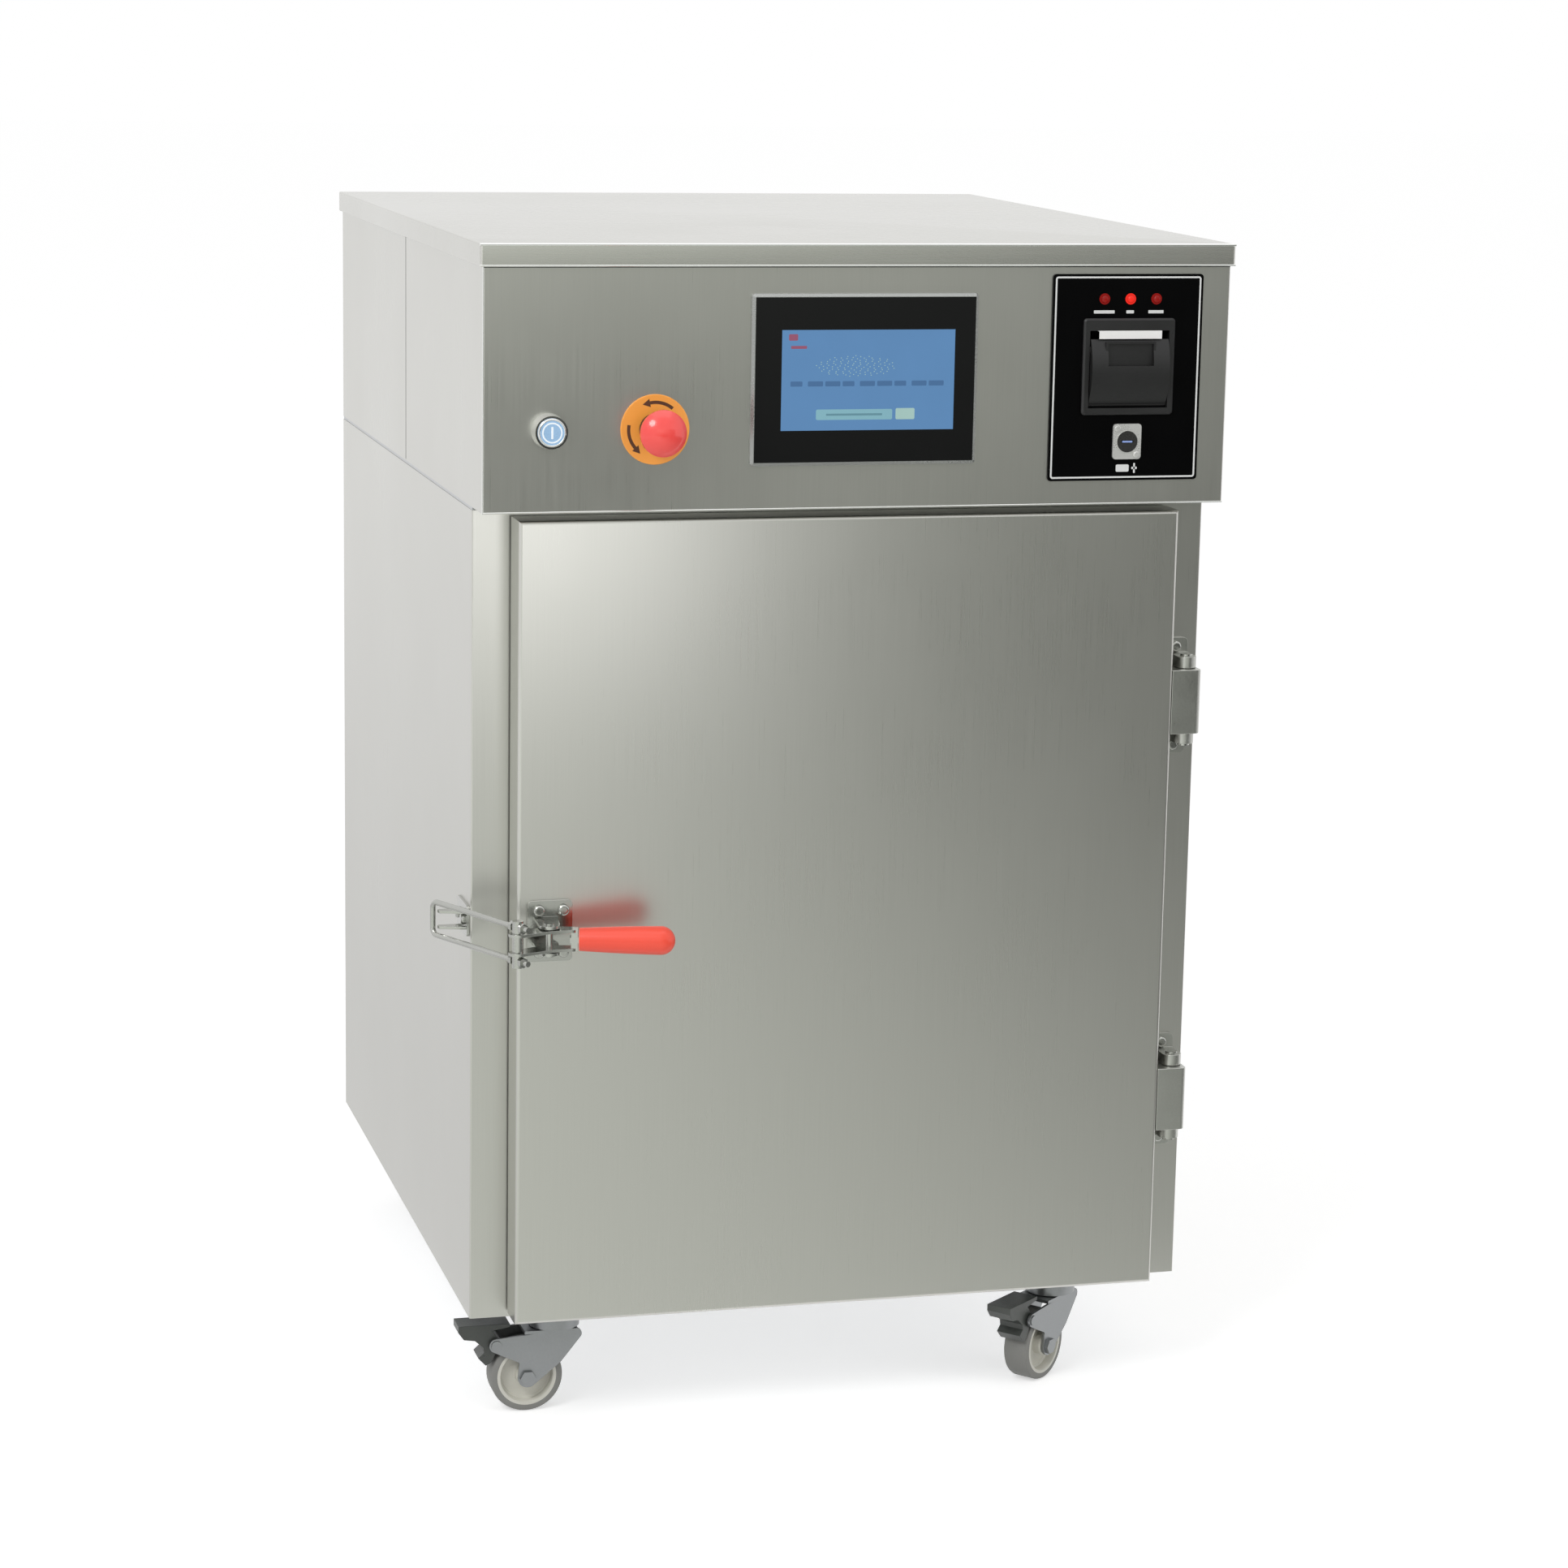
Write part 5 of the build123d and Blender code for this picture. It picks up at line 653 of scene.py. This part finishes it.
def plate_print():
    """Everything printed on the plate: frame line, bars under the lamps, a block and a cross."""
    low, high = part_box("printer_plate")
    x0, x1, z0, z1 = low.x * 1000, high.x * 1000, low.z * 1000, high.z * 1000
    front, ink, inset, line, corner, lamp_pitch = low.y * 1000, 0.12, 2.1, 1.5, 2.4, 23.8
    shape = bmesh.new()
    inside = flat_outline(shape, x0 + inset, x1 - inset, z0 + inset, z1 - inset, front, corner, 8)
    rim = bmesh.ops.inset_region(
        shape, faces=inside, thickness=line / 1000, use_even_offset=True, use_boundary=True
    )["faces"]
    bmesh.ops.delete(shape, geom=inside, context="FACES_ONLY")
    raise_faces(shape, rim, ink)
    lamps_low, lamps_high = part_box("indicator_lamps")
    lamp_x, lamp_z = (lamps_low.x + lamps_high.x) * 500, (lamps_low.z + lamps_high.z) * 500
    for step, wide in ((-1, 19.0), (0, 7.0), (1, 14.0)):
        x = lamp_x + step * lamp_pitch
        tile(shape, x - wide / 2, x + wide / 2, lamp_z - 12.6, lamp_z - 9.9, front, ink, 0.5)
    socket_low, socket_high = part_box("data_socket")
    x, z = (socket_low.x + socket_high.x) * 500, socket_low.z * 1000 - 8.0
    tile(shape, x - 9, x + 3, z - 3.2, z + 3.2, front, ink, 1.2)
    tile(shape, x + 5.5, x + 10.5, z - 1.0, z + 1.0, front, ink, 0.4)
    tile(shape, x + 7.2, x + 8.8, z - 4.4, z + 4.4, front, ink, 0.4)
    new_piece("plate_print", shape, [print_white], "cabinet")


def socket_tongue():
    """Pale blue tongue inside the socket's slot."""
    low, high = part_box("data_socket")
    x, z, root, long = (low.x + high.x) * 500, (low.z + high.z) * 500, 2.6, 2.2
    shape = bmesh.new()
    tile(shape, x - 4.6, x + 4.6, z - 0.75, z + 0.75, low.y * 1000 + root, long, 0.3)
    blue = speckled("socket tongue blue", (0.30, 0.42, 0.80), 0.35, 1500, 0.1, 0.1)
    new_piece("socket_tongue", shape, [blue], "cabinet")


plate_print()
socket_tongue()


def lamp_red():
    """Red lenses that glow more in the middle than at the rim; the middle lamp is the one lit fully."""
    finish, nodes, links, shader = blank_finish("lit red lens")
    facing = nodes.new("ShaderNodeLayerWeight")
    facing.inputs["Blend"].default_value = 0.35
    ramp = nodes.new("ShaderNodeMapRange")
    ramp.inputs["To Min"].default_value = 0.75
    ramp.inputs["To Max"].default_value = 0.12
    links.new(facing.outputs["Facing"], ramp.inputs["Value"])
    tree, half_pitch, faint = finish.node_tree, 0.012, 0.1
    low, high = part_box("indicator_lamps")
    spot = nodes.new("ShaderNodeSeparateXYZ")
    links.new(nodes.new("ShaderNodeTexCoord").outputs["Object"], spot.inputs[0])
    across = math_node(tree, "SUBTRACT", spot.outputs["X"], (low.x + high.x) / 2)
    away = math_node(tree, "ABSOLUTE", across, 0)
    lit = math_node(tree, "MAXIMUM", math_node(tree, "LESS_THAN", away, half_pitch), faint)
    links.new(math_node(tree, "MULTIPLY", ramp.outputs["Result"], lit), shader.inputs["Emission Strength"])
    grains = nodes.new("ShaderNodeGroup")
    grains.node_tree = speckle
    grains.inputs["Tint"].default_value = (0.24, 0.007, 0.006, 1)
    grains.inputs["Size"].default_value = 1500
    links.new(grains.outputs["Color"], shader.inputs["Base Color"])
    shader.inputs["Emission Color"].default_value = (1.0, 0.03, 0.015, 1)
    shader.inputs["Roughness"].default_value = 0.12
    shader.inputs["Specular IOR Level"].default_value = 0.2
    return finish


dress(lamp_red(), "indicator_lamps")

# The stop button: an orange plate on the steel, a black collar and stem, and a glossy red mushroom
# head. Three dark arrows on the plate show which way the head is turned to let it go.
stop_orange = speckled("stop plate orange", (1.0, 0.40, 0.055), 0.42, 1500, 0.06, 0.1)


def coated(name, tint, rough, coat, size=1200, mottle=0.2, wear=0.2):
    """A speckled colour under a clear coat."""
    finish = speckled(name, tint, rough, size, mottle, wear, 0.05)
    return tuned(finish, Coat_Weight=coat, Coat_Roughness=0.06)


stop_red = coated("stop head red", (1.0, 0.075, 0.065), 0.26, 0.6, 900, 0.02, 0.02)
dress(stop_orange, "stop_plate")
dress(stop_red, "stop_head")
dress(black_plastic, "stop_collar", "stop_stem")


def turn_arrows():
    """Each arrow is a short line spun to an arc, with a triangle for its head."""
    low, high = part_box("stop_plate")
    x, z = (low.x + high.x) / 2, (low.z + high.z) / 2
    inner, outer, head_half, head_long = 0.0218, 0.0246, 0.0036, 0.0065
    shape = bmesh.new()
    for turn in (0, 120, 240):
        before = set(shape.verts)
        edge = bmesh.ops.create_vert(shape, co=(inner, 0, 0))["vert"]
        edge += bmesh.ops.create_vert(shape, co=(outer, 0, 0))["vert"]
        line = shape.edges.new(edge)
        spun = bmesh.ops.spin(
            shape, geom=[line, *edge], cent=(0, 0, 0), axis=(0, -1, 0), dvec=(0, 0, 0),
            angle=math.radians(52), steps=16, use_merge=False,
        )["geom_last"]
        end = [g for g in spun if isinstance(g, bmesh.types.BMVert)]
        middle = (end[0].co + end[1].co) / 2
        along = Vector((-middle.z, 0, middle.x)).normalized()
        if along.dot(middle - edge[0].co) < 0:
            along.negate()
        outward = middle.normalized()
        head = [
            shape.verts.new(middle + outward * head_half), shape.verts.new(middle - outward * head_half),
            shape.verts.new(middle + along * head_long),
        ]
        shape.faces.new(head)
        place = Matrix.Translation((x, low.y, z)) @ Matrix.Rotation(math.radians(turn + 70), 4, "Y")
        bmesh.ops.transform(shape, matrix=place, verts=list(set(shape.verts) - before))
    raise_faces(shape, shape.faces[:], 0.12)
    ink = speckled("plate ink", (0.10, 0.035, 0.012), 0.5, 2000, 0.1, 0.1)
    new_piece("stop_turn_arrows", shape, [ink], "cabinet")


turn_arrows()

# The power button: a chrome bezel round a pale blue lit cap, with a white ring and an upright bar
# moulded in the cap.
chrome = speckled("bezel chrome", (0.80, 0.80, 0.79), 0.12, 1200, 0.04, 0.05, 0.0, 1.0)
cap_blue = tuned(
    coated("lit cap blue", (0.32, 0.50, 0.72), 0.3, 0.3),
    Emission_Color=(0.25, 0.5, 0.75, 1), Emission_Strength=0.12,
)
dress(chrome, "power_bezel")
dress(cap_blue, "power_cap")


def power_symbol():
    """A flat ring with an upright bar in it, both standing a little out of the cap."""
    low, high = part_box("power_cap")
    x, z, front = (low.x + high.x) / 2, (low.z + high.z) / 2, low.y
    radius, ring_wide, relief = 0.0088, 0.0013, 0.2
    shape = bmesh.new()
    first = bmesh.ops.create_vert(shape, co=(x + radius, front, z))["vert"][0]
    second = bmesh.ops.create_vert(shape, co=(x + radius - ring_wide, front, z))["vert"][0]
    line = shape.edges.new((first, second))
    bmesh.ops.spin(
        shape, geom=[line, first, second], cent=(x, front, z), axis=(0, 1, 0), dvec=(0, 0, 0),
        angle=math.radians(360), steps=48, use_merge=True,
    )
    bmesh.ops.remove_doubles(shape, verts=shape.verts, dist=1e-6)
    raise_faces(shape, shape.faces[:], relief)
    x, z = x * 1000, z * 1000
    tile(shape, x - 0.9, x + 0.9, z - 5.2, z + 5.2, front * 1000, relief, 0.6)
    white = tuned(
        speckled("moulded white", (0.86, 0.92, 0.96), 0.4, 1800, 0.05, 0.05),
        Emission_Color=(0.8, 0.9, 1.0, 1), Emission_Strength=0.12,
    )
    new_piece("power_symbol", shape, [white], "power_button")


def turned(shape, outline, centre, axis, steps):
    """Spins a closed outline of points all the way round an axis."""
    verts = [shape.verts.new(point) for point in outline]
    edges = [shape.edges.new((a, b)) for a, b in zip(verts, verts[1:] + verts[:1])]
    bmesh.ops.spin(
        shape, geom=verts + edges, cent=centre, axis=axis, dvec=(0, 0, 0), angle=math.radians(360),
        steps=steps, use_merge=True,
    )


def power_rim():
    """Round chrome rim pressed on the cap's edge; its section is in millimetres of radius and depth."""
    low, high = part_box("power_cap")
    x, z, front = (low.x + high.x) / 2, (low.z + high.z) / 2, low.y
    section = ((12.15, 1.6), (12.15, 0.5), (11.7, -0.25), (11.1, -0.45), (10.5, -0.2), (10.3, 0.6))
    shape = bmesh.new()
    outline = [(x + radius / 1000, front + back / 1000, z) for radius, back in section]
    turned(shape, outline, (x, front, z), (0, 1, 0), 64)
    bmesh.ops.remove_doubles(shape, verts=shape.verts, dist=1e-6)
    bmesh.ops.recalc_face_normals(shape, faces=shape.faces)
    new_piece("power_rim", shape, [chrome], "power_button", 60)


power_symbol()
power_rim()

# The door: a folded brushed skin over wool with a plain inner panel, and a pale silicone gasket
# pressed into a channel behind it.
door_steel = brushed_steel("door steel", STEEL, 0.29, UPRIGHT, 0.08, 0.06)
silicone = speckled("silicone", (0.60, 0.60, 0.57), 0.45, 1500, 0.08, 0.1)
dress(door_steel, "door_skin", "door_inner_panel")
dress(silicone, "door_gasket")

# Hinges: cast blocks on the door turn on pins held by two knuckles of a plate that is screwed to
# the front frame. The same bright screws hold the latch's catch and the castors.
bright_steel = speckled("bright steel", (0.46, 0.465, 0.44), 0.17, 700, 0.1, 0.15, 0.1, 1.0)
satin_steel = speckled("satin steel", (0.50, 0.505, 0.475), 0.32, 500, 0.14, 0.18, 0.2, 1.0)
refined("hinge_blocks", "door", satin_steel, 0.8)
refined("hinge_brackets", "cabinet", satin_steel, 0.4)
dress(bright_steel, "hinge_pins", "cabinet_fasteners")

# The latch: a pressed base on the door carries a bent lever with a red dipped grip; its U-shaped
# hook bolt passes through a cross bar with four nuts and seats behind the catch on the side.
dipped_red = coated("dipped red vinyl", (1.0, 0.075, 0.035), 0.34, 0.35, 700, 0.06, 0.1)
for part, body in (("latch_base", "door"), ("latch_lever", "lever"), ("latch_catch", "cabinet")):
    refined(part, body, bright_steel, 0.4)
dress(bright_steel, "latch_fasteners", "hook_trunnion", "hook_bolt")
dress(dipped_red, "latch_grip")

# Castors: a zinc-plated top plate, a pressed fork and an axle bolt, a wheel of pale nylon with a
# grey rubber tread bonded on it, and on the front pair a dark brake pedal.
zinc_plate = speckled("zinc plate", (0.29, 0.30, 0.305), 0.34, 420, 0.12, 0.2, 0.15, 0.9)
pedal_black = speckled("pedal black", (0.06, 0.066, 0.06), 0.36, 900, 0.3, 0.3, 0.3)
refined("caster_plates", "cabinet", zinc_plate, 0.3)
refined("rear_forks", "cabinet", zinc_plate, 0.3)
for side in ("left", "right"):
    refined("fork_front_" + side, "swivel_front_" + side, zinc_plate, 0.3)
    refined("pedal_front_" + side, "brake_front_" + side, pedal_black, 0.5)

tread_rubber = speckled("tread rubber", (0.24, 0.24, 0.225), 0.6, 900, 0.15, 0.25, 0.3)
core_nylon = speckled("nylon core", (0.66, 0.65, 0.58), 0.45, 1100, 0.1, 0.2, 0.2)


def caster_wheel(name, turn):
    """Tread and core, spun about X from sections in millimetres of radius and distance along it."""
    tread = (
        (27, -12.3), (30.4, -12.5), (32.2, -11.6), (33, -9.6),
        (33, 9.6), (32.2, 11.6), (30.4, 12.5), (27, 12.3),
    )
    core = (
        (4.1, -13.4), (8.4, -13.4), (9.4, -12.4), (9.8, -5.0), (11.5, -3.8), (21.6, -3.6), (23.2, -5.0),
        (23.8, -11.6), (24.4, -12.4), (27.05, -12.4), (27.05, 12.4), (24.4, 12.4), (23.8, 11.6), (23.2, 5.0),
        (21.6, 3.6), (11.5, 3.8), (9.8, 5.0), (9.4, 12.4), (8.4, 13.4), (4.1, 13.4),
    )
    low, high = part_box(name)
    shape = bmesh.new()
    for finish, section in enumerate((tread, core)):
        before = set(shape.faces)
        outline = [(along / 1000, 0, radius / 1000) for radius, along in section]
        turned(shape, outline, (0, 0, 0), (1, 0, 0), 72)
        for face in set(shape.faces) - before:
            face.material_index = finish
    bmesh.ops.remove_doubles(shape, verts=shape.verts, dist=1e-6)
    bmesh.ops.recalc_face_normals(shape, faces=shape.faces)
    place = Matrix.Translation((low + high) / 2) @ Matrix.Rotation(math.radians(turn), 4, "Z")
    bmesh.ops.transform(shape, matrix=place, verts=shape.verts)
    piece = new_piece(name + "_tread_and_core", shape, [tread_rubber, core_nylon], name, 40)
    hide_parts(name)


for place, turn in (("front_left", 90), ("front_right", 130), ("rear_left", 0), ("rear_right", 0)):
    caster_wheel("wheel_" + place, turn)
